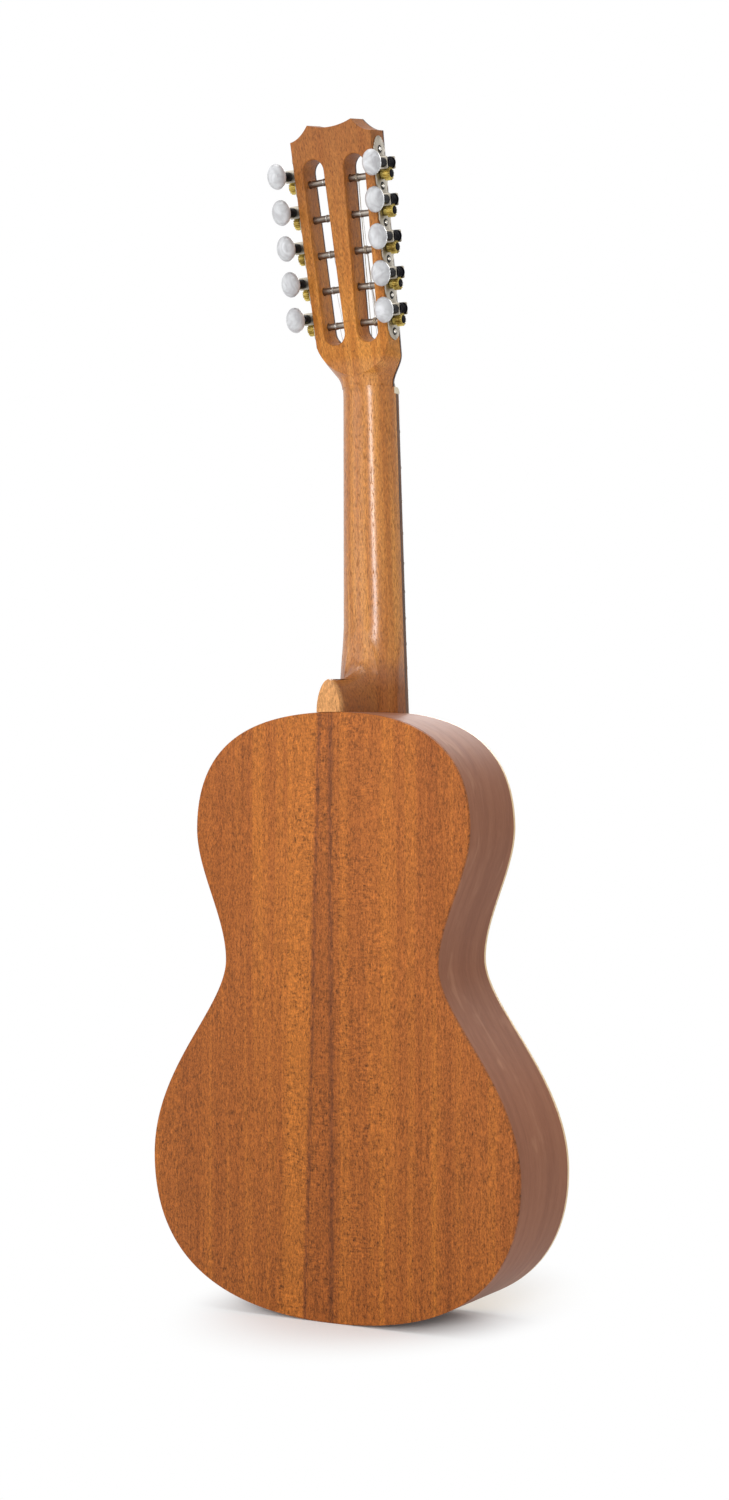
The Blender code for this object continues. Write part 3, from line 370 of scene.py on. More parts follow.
class Finish(Nodes):
    # a material on the piece's own coordinates, in metres
    def __init__(self, name):
        self.material = bpy.data.materials.new(name)
        self.material.use_nodes = True
        super().__init__(self.material.node_tree)
        self.shader = self.tree.nodes["Principled BSDF"]
        self.place = self.node("TexCoord", output=3)
        parts = self.tree.nodes.new("ShaderNodeSeparateXYZ")
        self.tree.links.new(self.place.socket, parts.inputs[0])
        self.x, self.y, self.z = (Value(self, parts.outputs[i]) for i in range(3))

    def stretch(self, across, deep, along):
        return self.node("VectorMath", {"operation": "MULTIPLY"}, {0: self.place, 1: (across, deep, along)})

    def joined(self, x, y, z):
        return self.node("CombineXYZ", inputs={0: x, 1: y, 2: z})

    def noise(self, vector, detail=2.0, roughness=0.5, distortion=0.0):
        return self.node("TexNoise", inputs={"Vector": vector, "Scale": 1.0, "Detail": detail,
                                             "Roughness": roughness, "Distortion": distortion})

    def mix(self, share, first, second, blend="MIX"):
        settings = {"data_type": "RGBA", "blend_type": blend}
        return self.node("Mix", settings, {0: share, 6: first, 7: second}, 2)

    def shaded(self, colour, shade):
        return self.mix(1.0, colour, self.joined(shade, shade, shade), "MULTIPLY")

    def ramp(self, value, stops):
        return self.node("ValToRGB", {"stops": stops}, {0: value})

    def bump(self, height, strength, distance):
        return self.node("Bump", inputs={"Strength": strength, "Distance": distance, "Height": height})

    def use(self, **sockets):
        # baseColor feeds Base Color, and so on
        for key, value in sockets.items():
            name = "".join(" " + c if c.isupper() else c for c in key).title()
            self.feed(self.shader.inputs[name.replace(" Ior ", " IOR ")], value)
        return self.material


# woods

def backWood():
    look = {
        "golden": tone(169, 99, 37), "brown": tone(153, 86, 34), "red": tone(137, 74, 29),
        "dark": tone(80, 42, 26), "stripeWide": 0.0030, "roughness": 0.5, "gloss": 0.2,
    }
    f = Finish("back_mahogany")
    sway = (f.noise(f.stretch(3, 3, 5), 1.0) - 0.5) * 0.0035
    x = f.x + sway
    broad = f.noise(f.joined(x * 55.0, 0.0, f.z * 1.6), 2.0, 0.5)
    narrow = f.noise(f.joined(x * 260.0, 0.0, f.z * 3.5), 2.0, 0.6)
    stops = [(0.34, look["red"]), (0.50, look["brown"]), (0.66, look["golden"])]
    colour = f.ramp(broad * 0.6 + narrow * 0.4, stops)
    lines = f.noise(f.joined(x * 520.0, 0.0, f.z * 14.0), 2.0, 0.65)
    grain = f.noise(f.stretch(720, 300, 250), 3.0, 0.75)
    flecks = f.noise(f.stretch(1250, 400, 700), 2.0, 0.6)
    curl = f.noise(f.joined(x * 190.0, 0.0, f.z * 520.0), 2.0, 0.65, 0.6)
    # two dark stripes drift apart towards the tail
    stripeA = x - (0.0203 - 0.030 * f.z)
    stripeB = x + 0.0021
    dashes = f.noise(f.joined(x * 420.0, 0.0, f.z * 75.0), 2.0, 0.7)
    ragged = (dashes - 0.5) * 0.0045
    markA = (stripeA + ragged).size().step(look["stripeWide"], 0.0002) * dashes.step(0.36, 0.56)
    markB = (stripeB + ragged).size().step(look["stripeWide"] * 1.2, 0.0002) * dashes.step(0.30, 0.52)
    between = stripeA.step(0.006, -0.005) * stripeB.step(-0.007, 0.004)
    leftBand = stripeA.step(0.0, 0.004) * stripeA.step(0.027, 0.017)
    rightBand = stripeB.step(-0.006, -0.009) * stripeB.step(-0.019, -0.012)
    colour = f.mix((leftBand + rightBand * 0.7) * 0.75, colour, look["golden"])
    colour = f.mix(between * (0.25 + dashes * 0.5), colour, look["red"])
    stripes = (markA * 0.72 + markB * 0.76) * (0.15 + curl * 0.8 + lines * 0.5)
    colour = f.mix(stripes.clamp(), colour, look["dark"])
    # short curls across the grain, in groups beside the stripes
    grouped = f.noise(f.stretch(38, 1, 24), 1.0).step(0.36, 0.60)
    nearMiddle = stripeA.step(0.036, 0.016) * stripeB.step(-0.062, -0.030)
    ripple = (curl - 0.5) * (0.4 + grouped * 1.5) * nearMiddle
    shade = 0.93 + f.z.step(0.0, 0.42) * 0.11 + (lines - 0.5) * 0.4     # painted light: the back is made a little paler up its height, as if lit more from above
    shade = shade + (grain - 0.5) * 2.3 + (flecks - 0.5) * 1.7 + ripple
    colour = f.shaded(colour, shade)
    height = lines * 0.4 + grain * 0.5 + flecks * 0.5
    return f.use(baseColor=colour, roughness=look["roughness"] - (grain - 0.5) * 0.3,
                 specularIorLevel=look["gloss"], normal=f.bump(height, 0.25, 0.0004))


def ribWood():
    look = {
        "light": tone(148, 96, 69), "dark": tone(135, 85, 60), "figure": tone(174, 121, 91),
        "roughness": 0.56, "gloss": 0.16,
    }
    f = Finish("rib_mahogany")
    # the rib's own measure, in metres from the tail along the bend
    run = f.node("SeparateXYZ", inputs={0: f.node("UVMap")}, output=1)
    slant = f.y * 110.0 + run * 9.0
    streaks = f.noise(f.joined(run * 6.0, slant, 0.0), 3.0, 0.6)
    figure = f.noise(f.joined(run * 26.0, slant * 0.9, 0.5), 2.0, 0.55, 0.8).step(0.52, 0.74)
    patches = f.noise(f.joined(run * 7.0, f.y * 18.0, 0.9), 1.0).step(0.42, 0.62)
    fine = f.noise(f.joined(run * 150.0, f.y * 780.0, 0.3), 2.0, 0.6)
    cloud = f.noise(f.joined(run * 12.0, f.y * 20.0, 0.7), 2.0, 0.5)
    colour = f.mix(streaks.step(0.30, 0.72), look["dark"], look["light"])
    colour = f.mix(figure * patches * 0.55, colour, look["figure"])
    colour = f.shaded(colour, 0.80 + fine * 0.24 + cloud * 0.18)
    return f.use(baseColor=colour, roughness=look["roughness"] - fine * 0.12,
                 specularIorLevel=look["gloss"], normal=f.bump(fine * 0.6 + streaks, 0.12, 0.0003))


def neckWood():
    look = {
        "light": tone(193, 128, 57), "warm": tone(167, 101, 38), "pore": tone(92, 49, 22),
        "head": tone(136, 80, 42), "heelPaintedShade": tone(126, 70, 34), "heelCap": tone(198, 141, 86),
        "roughness": 0.46, "gloss": 0.2,
    }
    f = Finish("neck_mahogany")
    sway = (f.noise(f.stretch(6, 6, 7), 1.0) - 0.5) * 0.005
    x = f.x + sway
    bands = f.noise(f.joined(x * 150.0, f.y * 70.0, f.z * 4.0), 2.0, 0.6)
    colour = f.mix(bands.step(0.32, 0.68), look["warm"], look["light"])
    colour = f.mix(f.z.step(0.715, 0.865) * 0.75, colour, look["head"])
    # painted shade: the heel under the shaft is darkened, as its flanks lie in shade
    colour = f.mix(f.z.step(0.482, 0.462) * 0.7, colour, look["heelPaintedShade"])
    stipple = f.noise(f.stretch(900, 800, 300), 3.0, 0.75)
    pores = f.noise(f.stretch(1300, 1200, 260), 1.0, 0.5).step(0.56, 0.70)
    capHere = f.z.step(0.4635, 0.4600) * f.y.step(0.026, 0.031)
    colour = f.mix(capHere, colour, look["heelCap"])
    colour = f.mix(pores * 0.5, colour, look["pore"])
    colour = f.shaded(colour, 1.03 + (stipple - 0.5) * 1.9)
    shaft = f.z.step(0.700, 0.692) * f.z.step(0.450, 0.470)   # the neck's round part is polished
    return f.use(baseColor=colour, roughness=look["roughness"] + (stipple - 0.5) * 0.2,
                 specularIorLevel=look["gloss"], coatWeight=shaft * (0.7 - pores * 0.65), coatRoughness=0.24,
                 normal=f.bump(stipple * 0.5 - pores, 0.16, 0.0003))


def darkWood(name, light, dark, along, roughness):
    f = Finish(name)
    grain = f.noise(f.stretch(*along), 3.0, 0.6)
    pores = f.noise(f.stretch(*[s * 2.6 for s in along]), 1.0).step(0.58, 0.68)
    colour = f.mix(grain.step(0.3, 0.7), dark, light)
    colour = f.shaded(colour, 1.0 - pores * 0.45)
    return f.use(baseColor=colour, roughness=roughness + grain * 0.12, specularIorLevel=0.25,
                 normal=f.bump(grain - pores, 0.15, 0.0002))


def spruceWood():
    look = {
        "pale": tone(232, 200, 150), "line": tone(206, 164, 110), "glow": tone(240, 212, 166),
        "ringsPerMetre": 1050.0, "roughness": 0.42, "coat": 0.15,
    }
    f = Finish("spruce_top")
    half = f.x.size()
    sway = (f.noise(f.joined(half * 8.0, 0.0, f.z * 3.0), 1.0) - 0.5) * 0.0022
    rings = f.noise(f.joined((half + sway) * look["ringsPerMetre"], 0.0, f.z * 1.5), 1.0, 0.4)
    wide = f.noise(f.joined((half + sway) * 60.0, 0.0, f.z * 0.7), 2.0)
    silk = f.noise(f.joined(half * 140.0, 0.0, f.z * 260.0), 2.0)
    fine = f.noise(f.stretch(1800, 400, 90), 1.0)
    colour = f.mix(wide.step(0.3, 0.7), look["pale"], look["glow"])
    colour = f.mix(rings.step(0.40, 0.72) * (0.30 + wide * 0.45), colour, look["line"])
    colour = f.shaded(colour, 0.94 + silk * 0.08 + fine * 0.04)
    return f.use(baseColor=colour, roughness=look["roughness"] - silk * 0.1, specularIorLevel=0.25,
                 coatWeight=look["coat"], coatRoughness=0.22, normal=f.bump(rings * 0.6 + fine, 0.08, 0.0002))


def plainWood(name, light, dark):
    f = Finish(name)
    rings = f.noise(f.stretch(220, 220, 14), 2.0, 0.6)
    fine = f.noise(f.stretch(1100, 1100, 120), 2.0)
    colour = f.mix(rings.step(0.35, 0.65), dark, light)
    colour = f.shaded(colour, 0.88 + fine * 0.24)
    return f.use(baseColor=colour, roughness=0.62 + fine * 0.15, specularIorLevel=0.2,
                 normal=f.bump(fine, 0.2, 0.0003))


def rosetteWood():
    look = {
        "dark": tone(58, 32, 22), "pale": tone(222, 184, 128), "red": tone(140, 62, 34),
        "blocks": 96, "rows": 12.0, "edgeLines": 9.0,
    }
    f = Finish("rosette_inlay")
    up = f.z - (soundBox["holeHeight"] * 0.001 + boardLow[2])
    radius = (f.x * f.x + up * up) ** 0.5
    inwards = (radius * 1000.0 - soundBox["rosetteInner"]) / soundBox["rosetteWidth"]
    lines = (inwards * look["edgeLines"]).reckon("FRACT") > 0.5
    middle = inwards.step(0.33, 0.34) * inwards.step(0.67, 0.66)
    turn = up.reckon("ARCTAN2", f.x) * (look["blocks"] / (2 * math.pi))
    row = (inwards * look["rows"]).reckon("FLOOR") * 0.5     # every other row stands half a block over
    block = (turn + row).reckon("FRACT") > 0.5
    grain = f.noise(f.stretch(900, 400, 900), 2.0)
    ringColour = f.mix(lines, look["dark"], look["pale"])
    middleColour = f.mix(block, look["red"], look["pale"])
    colour = f.mix(middle, ringColour, middleColour)
    colour = f.shaded(colour, 0.82 + grain * 0.36)
    return f.use(baseColor=colour, roughness=0.36 + grain * 0.1, coatWeight=0.25, coatRoughness=0.2,
                 normal=f.bump(grain, 0.06, 0.0002))


# bone, pearl and metals

def boneFinish():
    look = {"cream": tone(214, 200, 166), "ivory": tone(238, 228, 204), "speck": tone(160, 138, 104)}
    f = Finish("bone_polished")
    cloud = f.noise(f.stretch(60, 200, 200), 3.0)
    specks = f.noise(f.stretch(1500, 1500, 1500), 1.0).step(0.66, 0.74)
    colour = f.mix(cloud, look["cream"], look["ivory"])
    colour = f.mix(specks * 0.3, colour, look["speck"])
    return f.use(baseColor=colour, roughness=0.28 + cloud * 0.1, normal=f.bump(cloud, 0.05, 0.0002))


def pearlFinish():
    look = {"milk": tone(190, 191, 193), "shade": tone(176, 175, 178), "glow": tone(206, 207, 210)}
    f = Finish("pearl_plastic")
    warp = f.noise(f.stretch(70, 70, 70), 1.0, 0.5, 0.8)
    swirl = f.noise(f.stretch(85, 85, 85), 2.0, 0.45, 2.6)
    stops = [(0.36, look["shade"]), (0.50, look["milk"]), (0.64, look["glow"])]
    colour = f.ramp(swirl * 0.7 + warp * 0.3, stops)
    return f.use(baseColor=colour, roughness=0.26 + warp * 0.12, specularIorLevel=0.4, coatWeight=0.4,
                 coatRoughness=0.08, normal=f.bump(swirl, 0.03, 0.0003))


def metalFinish(name, bright, dull, roughness, grainSize=(900, 900, 900), metal=1.0, wear=0.3, gloss=0.5):
    f = Finish(name)
    brushed = f.noise(f.stretch(*grainSize), 3.0, 0.65)
    stain = f.noise(f.stretch(160, 160, 160), 3.0, 0.6)
    colour = f.mix(stain.step(0.35, 0.7) * wear * 2.0, bright, dull)
    return f.use(baseColor=colour, metallic=metal, roughness=roughness + brushed * 0.14 + stain * 0.08,
                 specularIorLevel=gloss, normal=f.bump(brushed, 0.08, 0.0001))


def woundFinish():
    look = {"bright": tone(184, 174, 158), "dull": tone(146, 134, 118), "turnsPerMetre": 2600.0}
    f = Finish("wound_string")
    turns = ((f.z * look["turnsPerMetre"] + f.y * 300.0) * 2 * math.pi).reckon("SINE")
    stain = f.noise(f.stretch(300, 300, 60), 2.0)
    colour = f.mix(stain, look["bright"], look["dull"])
    return f.use(baseColor=colour, metallic=1.0, roughness=0.32 + stain * 0.1,
                 normal=f.bump(turns, 0.35, 0.0001))


print("finishes")
woods = {
    "back": backWood(),
    "rib": ribWood(),
    "neck": neckWood(),
    "spruce": spruceWood(),
    "rosette": rosetteWood(),
    "veneer": darkWood("headstock_veneer_wood", tone(84, 52, 42), tone(50, 30, 26), (260, 400, 26), 0.4),
    "board": darkWood("dark_hardwood", tone(112, 76, 52), tone(70, 45, 32), (300, 300, 30), 0.46),
    "bridge": darkWood("bridge_hardwood", tone(104, 70, 49), tone(64, 41, 31), (28, 300, 320), 0.46),
    "block": plainWood("block_wood_plain", tone(206, 168, 118), tone(182, 140, 92)),
    "brace": plainWood("brace_spruce_plain", tone(226, 194, 146), tone(204, 166, 116)),
}
others = {
    "bone": boneFinish(),
    "pearl": pearlFinish(),
    "dot": pearlFinish(),
    "nickel": metalFinish("nickel_plated", tone(180, 173, 160), tone(132, 124, 111), 0.34),
    "brass": metalFinish("gear_brass", tone(214, 192, 108), tone(146, 120, 54), 0.34, (700, 700, 700),
                         metal=0.8, wear=0.5),
    "black": metalFinish("black_steel", tone(14, 12, 17), tone(8, 7, 10), 0.3, metal=0.0, gloss=0.12),
    "steel": metalFinish("post_steel", tone(150, 142, 133), tone(98, 86, 78), 0.28),
    "screw": metalFinish("screw_steel", tone(240, 236, 228), tone(206, 200, 190), 0.16),
    "fret": metalFinish("fret_wire", tone(208, 204, 196), tone(178, 172, 162), 0.22),
    "plain": metalFinish("plain_string", tone(204, 202, 198), tone(176, 172, 166), 0.22, (500, 500, 30)),
    "wound": woundFinish(),
}


# outlines of the box

def bodyHalf(inset=0.0):
    # half of the box's outline from the tail to the neck, with even steps along it
    box = soundBox
    tail, top = Vector((0, 0)), Vector((0, box["length"]))
    lower = Vector((box["lowerBout"] / 2, box["lowerHeight"]))
    middle = Vector((box["waist"] / 2, box["waistHeight"]))
    upper = Vector((box["upperBout"] / 2, box["upperHeight"]))
    across, up = Vector((1, 0)), Vector((0, 1))
    stretches = [(tail, tail + across * 94, lower - up * 77, lower),
                 (lower, lower + up * 65, middle - up * 35, middle),
                 (middle, middle + up * 31, upper - up * 31, upper),
                 (upper, upper + up * 52, top + across * 83, top)]
    dense = [tail]
    for stretch in stretches:
        dense += [Vector(p) for p in interpolate_bezier(*stretch, 90)][1:]
    total = sum((b - a).length for a, b in zip(dense, dense[1:]))
    count = round(total / box["spacing"])
    points, walked, goal = [tail], 0.0, total / count
    for a, b in zip(dense, dense[1:]):
        stride = (b - a).length
        while walked + stride >= goal - 1e-6 and len(points) < count:
            points.append(a + (b - a) * ((goal - walked) / stride))
            goal += total / count
        walked += stride
    points.append(top)
    moved = []
    for i, point in enumerate(points):
        along = points[min(i + 1, len(points) - 1)] - points[max(i - 1, 0)]
        if i in (0, len(points) - 1):
            along = Vector((1, 0)) if i == 0 else Vector((-1, 0))
        along.normalize()
        moved.append(point + Vector((-along.y, along.x)) * inset)
    moved[0].x = moved[-1].x = 0
    return moved, total


def mirrored(points):
    left = [Vector((-p.x, p.y)) for p in reversed(points) if p.x > 0.01]
    return [Vector((p.x, p.y)) for p in points] + left


def upright(depth, lean=0.0):
    # stands a flat outline up, its underside at this depth and its top towards the front
    return shift(0, depth, 0) @ Matrix.Rotation(math.pi / 2 + lean, 4, "X")


def backOutside(height):
    return soundBox["depthAtTail"] + backSlope * height


# the box

def makeBack():
    half, _ = bodyHalf()
    outline = [Vector((-4, half[0].y))] + half + [Vector((-4, half[-1].y))]
    for name, side in (("back_left", 1), ("back_right", -1)):
        piece = plate(name, outline, 0, soundBox["back"])
        corners = piece.data.vertices
        pick(piece, "EDGE", lambda edge: all(corners[v].co.z < 0.001 for v in edge.vertices)
             and max(corners[v].co.x for v in edge.vertices) > 0.01)
        bpy.ops.mesh.bevel(offset=soundBox["backRounding"], segments=3, affect="EDGES")
        editAll()
        bpy.ops.mesh.bisect(plane_co=(0.02, 0, 0), plane_no=(1, 0, 0), clear_inner=True, use_fill=True)
        objectMode()
        place(piece, upright(soundBox["depthAtTail"], -backLean) @ Matrix.Diagonal((side, 1, 1, 1)))
        tidyMesh(piece)
        finishPiece(piece, name + "_plate", woods["back"], [name], 30)


def makeRibs():
    # a bent rib with its linings inside, front and back
    outer, total = bodyHalf()
    shell, _ = bodyHalf(soundBox["rib"])
    lined, _ = bodyHalf(soundBox["rib"] + soundBox["lining"])
    plain, _ = bodyHalf(soundBox["rib"] + gap)
    front, foot, width = soundBox["board"] + 0.04, soundBox["liningFoot"], soundBox["liningWidth"]
    for name, side in (("side_left", 1), ("side_right", -1)):
        rings = []
        for i, point in enumerate(outer):
            inside = lined[i] if point.x > soundBox["liningFrom"] else plain[i]
            ring = []
            for p, face, inwards in ((point, "front", 0), (point, "back", 0), (inside, "back", 0),
                                     (inside, "back", foot), (shell[i], "back", width),
                                     (shell[i], "front", width), (inside, "front", foot),
                                     (inside, "front", 0)):
                back = backOutside(p.y) - soundBox["back"] - 0.05
                depth = front + inwards if face == "front" else back - inwards
                ring.append((max(p.x, 0.02) * side, depth, p.y))
            rings.append(ring)
        piece = skin(name, rings)
        walk = piece.data.uv_layers.active.data
        for loop in walk:
            loop.uv.y *= total * 0.001      # metres along the rib
        finishPiece(piece, name + "_rib", woods["rib"], [name], 30)


def ringBand(name, inner, outer, low, high):
    return turned(name, [(inner, high), (outer, high), (outer, low), (inner, low), (inner, high)], 96)


def makeSoundboard():
    half, _ = bodyHalf()
    board = plate("soundboard", mirrored(half), 0, soundBox["board"], soundBox["boardRounding"])
    place(board, upright(soundBox["board"]))
    atHole = shift(0, 0, soundBox["holeHeight"]) @ toFront
    radius = soundBox["holeRadius"]
    hole = turned("soundhole", [(radius + 2, 5), (radius + 0.4, 0.0), (radius, -0.5), (radius, -10)], 96)
    cut(board, place(hole, atHole))
    inner = soundBox["rosetteInner"]
    outer = inner + soundBox["rosetteWidth"]
    groove = ringBand("groove", inner - 0.03, outer + 0.03, -soundBox["rosetteDepth"] - 0.05, 2)
    cut(board, place(groove, atHole))
    low, high = saddleHeight - soundBox["strutBelow"], saddleHeight + soundBox["strutAbove"]
    sunk = 0.4      # how far the struts reach into the board, to be one with it
    buried = soundBox["board"] - sunk
    for number in (-1, 0, 1):
        rings = []
        for i in range(25):
            share = i / 24
            rise = 0.22 + 0.78 * min(1, math.sin(math.pi * share) ** 0.6 * 1.02)
            x = number * (soundBox["fanSpread"] - soundBox["fanNarrowing"] * share)
            z = low + (high - low) * share
            top = buried + sunk + soundBox["strutHeight"] * rise
            wide = soundBox["strutWidth"] / 2
            rings.append([(x - wide, buried, z), (x + wide, buried, z), (x + wide, top - 1.4, z),
                          (x + wide * 0.5, top - 0.3, z), (x, top, z), (x - wide * 0.5, top - 0.3, z),
                          (x - wide, top - 1.4, z)])
        cut(board, skin("strut", rings), "UNION")
    finishPiece(board, "soundboard_top", woods["spruce"], ["soundboard"], 30)
    inlay = ringBand("rosette", inner, outer, -soundBox["rosetteDepth"], 0)
    tidyMesh(inlay)
    finishPiece(place(inlay, atHole), "rosette_inlay", woods["rosette"], ["rosette"])


# neck and headstock

neckShape = {
    "depthAtNut": 20.8, "depthAtHeel": 21.9, "capWidth": 19.6, "capLength": 23.6, "flare": 11.0,
    "angle": math.radians(10.3), "faceAtNut": 1.6, "thick": 19.4, "veneer": 2.0, "start": 2.0,
    "halfLow": 30.5, "halfHigh": 34.2, "shoulder": 34.6, "corner": 186.2, "horn": 196.4, "dip": 193.1,
    "hornHalf": 18.5, "tongueStart": 14.7, "tongueRadius": 32.0,
    "slotWidth": 17.8, "slotLow": Vector((14.2, 46.1)), "slotHigh": Vector((17.4, 162.9)),
    "rampStart": 20.5, "rampSlope": 0.285, "rampWidth": 8.4, "rampMiddle": 16.4,
    "keelDrop": 17, "keelRate": 2.6, "keelFade": 14,      # how the heel's ridge runs out into the shaft
    "keelEnds": 60,                                       # this far below the nut there is none of it left
    "widenFrom": 4, "widenTo": 26,                        # where the neck widens into the headstock
    "postHole": 3.05,
}
heelTip = soundBox["length"] + neckShape["capLength"]
headFrame = (shift(0, neckShape["faceAtNut"], nutHeight + neckShape["start"])
             @ Matrix.Rotation(-neckShape["angle"], 4, "X"))
sideLean = math.atan((neckShape["halfHigh"] - neckShape["halfLow"])
                     / (neckShape["corner"] - neckShape["shoulder"]))


def neckHalf(height):
    taper = (scale["widthAtBody"] - scale["widthAtNut"]) / 2 / (nutHeight - soundBox["length"])
    return scale["widthAtNut"] / 2 + taper * (nutHeight - height)


def headHalf(distance):
    return neckShape["halfLow"] + (distance - neckShape["shoulder"]) * math.tan(sideLean)


def widened(half, full, share):
    # from half to full width as the share goes from 0 to 1, eased at both ends
    return half + (full - half) * share * share * (3 - 2 * share)


def headOutline(lowPoints):
    corner = Vector((headHalf(neckShape["corner"]), neckShape["corner"]))
    horn = Vector((neckShape["hornHalf"], neckShape["horn"]))
    cove, dip = Vector((26, 187)), Vector((0, neckShape["dip"]))
    between = Vector((neckShape["hornHalf"] / 2, neckShape["dip"]))
    half = list(lowPoints) + [corner]
    for first, middle, last in ((corner, cove, horn), (horn, between, dip)):
        for i in range(1, 13):
            t = i / 12
            half.append(first * (1 - t) ** 2 + middle * 2 * t * (1 - t) + last * t * t)
    return mirrored(half)


def tongueHalf(distance):
    # half width of the flat back where the round neck runs into it
    rise = distance - neckShape["tongueStart"]
    if rise <= 0:
        return 0.0
    radius = neckShape["tongueRadius"]
    return min(math.sqrt(max(radius ** 2 - (radius - rise) ** 2, 0)), headHalf(neckShape["shoulder"]))


def shaftDepth(height):
    share = (nutHeight - height) / (nutHeight - soundBox["length"])
    return neckShape["depthAtNut"] + (neckShape["depthAtHeel"] - neckShape["depthAtNut"]) * share


def heelRidge(height):
    if height <= heelTip:
        return backOutside(height)
    shaft = shaftDepth(height)
    drop = backOutside(heelTip) - neckShape["keelDrop"] - shaft
    return shaft + drop * math.exp(-neckShape["keelRate"] * (height - heelTip) / neckShape["keelFade"])


def heelHalf(depth, height):
    # the heel's keel is an arch at each depth
    shaft = shaftDepth(height)
    drop = backOutside(heelTip) - neckShape["keelDrop"] - shaft
    if depth > shaft + drop:
        ridge = heelTip
    elif depth > shaft + 0.05:
        ridge = heelTip - math.log((depth - shaft) / drop) / neckShape["keelRate"] * neckShape["keelFade"]
    else:
        ridge = heelTip + 40
    rise = (height - soundBox["length"]) / (ridge - soundBox["length"])
    if rise >= 1:
        return 0.0
    flare = max(1 - depth / backOutside(soundBox["length"]), 0) ** 1.4
    return (neckShape["capWidth"] / 2 + neckShape["flare"] * flare) * (1 - max(rise, 0) ** 2) ** 0.57


def neckRing(height):
    slant = math.cos(neckShape["angle"])
    above = height - nutHeight - neckShape["start"]
    distance = above / slant
    face = neckShape["faceAtNut"] + above * math.tan(neckShape["angle"])
    plane = face + (neckShape["thick"] - 0.12) / slant
    pastNut = height > nutHeight + scale["nutThick"] + 0.2
    base, front = (face, face + (neckShape["veneer"] + 0.02) / slant) if pastNut else (0, 0)
    half = neckHalf(min(height, nutHeight))
    widenFrom, widenTo = neckShape["widenFrom"], neckShape["widenTo"]
    spread = min(max((distance - widenFrom) / (widenTo - widenFrom), 0), 1)
    half = widened(half, headHalf(widenTo) - 0.05, spread)
    flat = tongueHalf(distance + neckShape["thick"] * math.tan(neckShape["angle"]))
    heelHere = height < nutHeight - neckShape["keelEnds"]
    if flat > 0:
        share = min(flat / half, 0.985)
        fullDepth = (plane - base) / math.sqrt(1 - share ** 2)
        back = plane
    else:
        back = max(heelRidge(height), plane)
        fullDepth = shaftDepth(height) - base if heelHere else back - base
    shaftBack = min(back, base + fullDepth)
    depths = [front + (shaftBack - front) * math.sin(math.pi / 2 * i / 14) for i in range(14)]
    depths += [depths[-1] + (back - depths[-1]) * i / 8 for i in range(1, 9)]
    points = []
    for depth in depths:
        shaft = half * math.sqrt(max(1 - ((depth - base) / fullDepth) ** 2, 0))
        keel = heelHalf(depth, height) if heelHere else 0
        width = (shaft ** 3 + keel ** 3) ** (1 / 3)
        points.append((max(min(width, half), 0.05), depth, height))
    return points + [(-x, y, z) for x, y, z in reversed(points)]


def slotTool(side):
    # a long round-ended tool whose back rim flares a little, to round the slot's edge
    low, high = neckShape["slotLow"], neckShape["slotHigh"]
    along = (high - low).normalized()
    across = Vector((along.y, -along.x))
    thick = neckShape["thick"]
    rings = []
    for depth, flare in ((-6, 1.5), (0.0, 0.35), (0.4, 0.0), (thick - 0.7, 0.0), (thick - 0.45, 0.08),
                         (thick - 0.2, 0.26), (thick, 0.62), (thick + 4, 4.0)):
        radius = neckShape["slotWidth"] / 2 + flare
        ring = []
        for centre, reach in ((high, radius), (low, -radius)):
            for i in range(25):
                angle = math.pi * i / 24
                ring.append(centre + (across * math.cos(angle) + along * math.sin(angle)) * reach)
        rings.append([(p.x * side, depth, p.y) for p in ring])
    return place(skin("slot", rings), headFrame)


def rampTool(side):
    start = Vector((neckShape["rampStart"], -0.4))
    run = neckShape["slotLow"].y - start.x
    end = Vector((neckShape["slotLow"].y, start.y + run * neckShape["rampSlope"]))
    profile = [start, end, Vector((end.x, -4)), Vector((start.x, -4))]
    half = neckShape["rampWidth"] / 2
    rings = [[(side * (neckShape["rampMiddle"] + edge), p.y, p.x) for p in profile] for edge in (-half, half)]
    return place(skin("ramp", rings), headFrame)


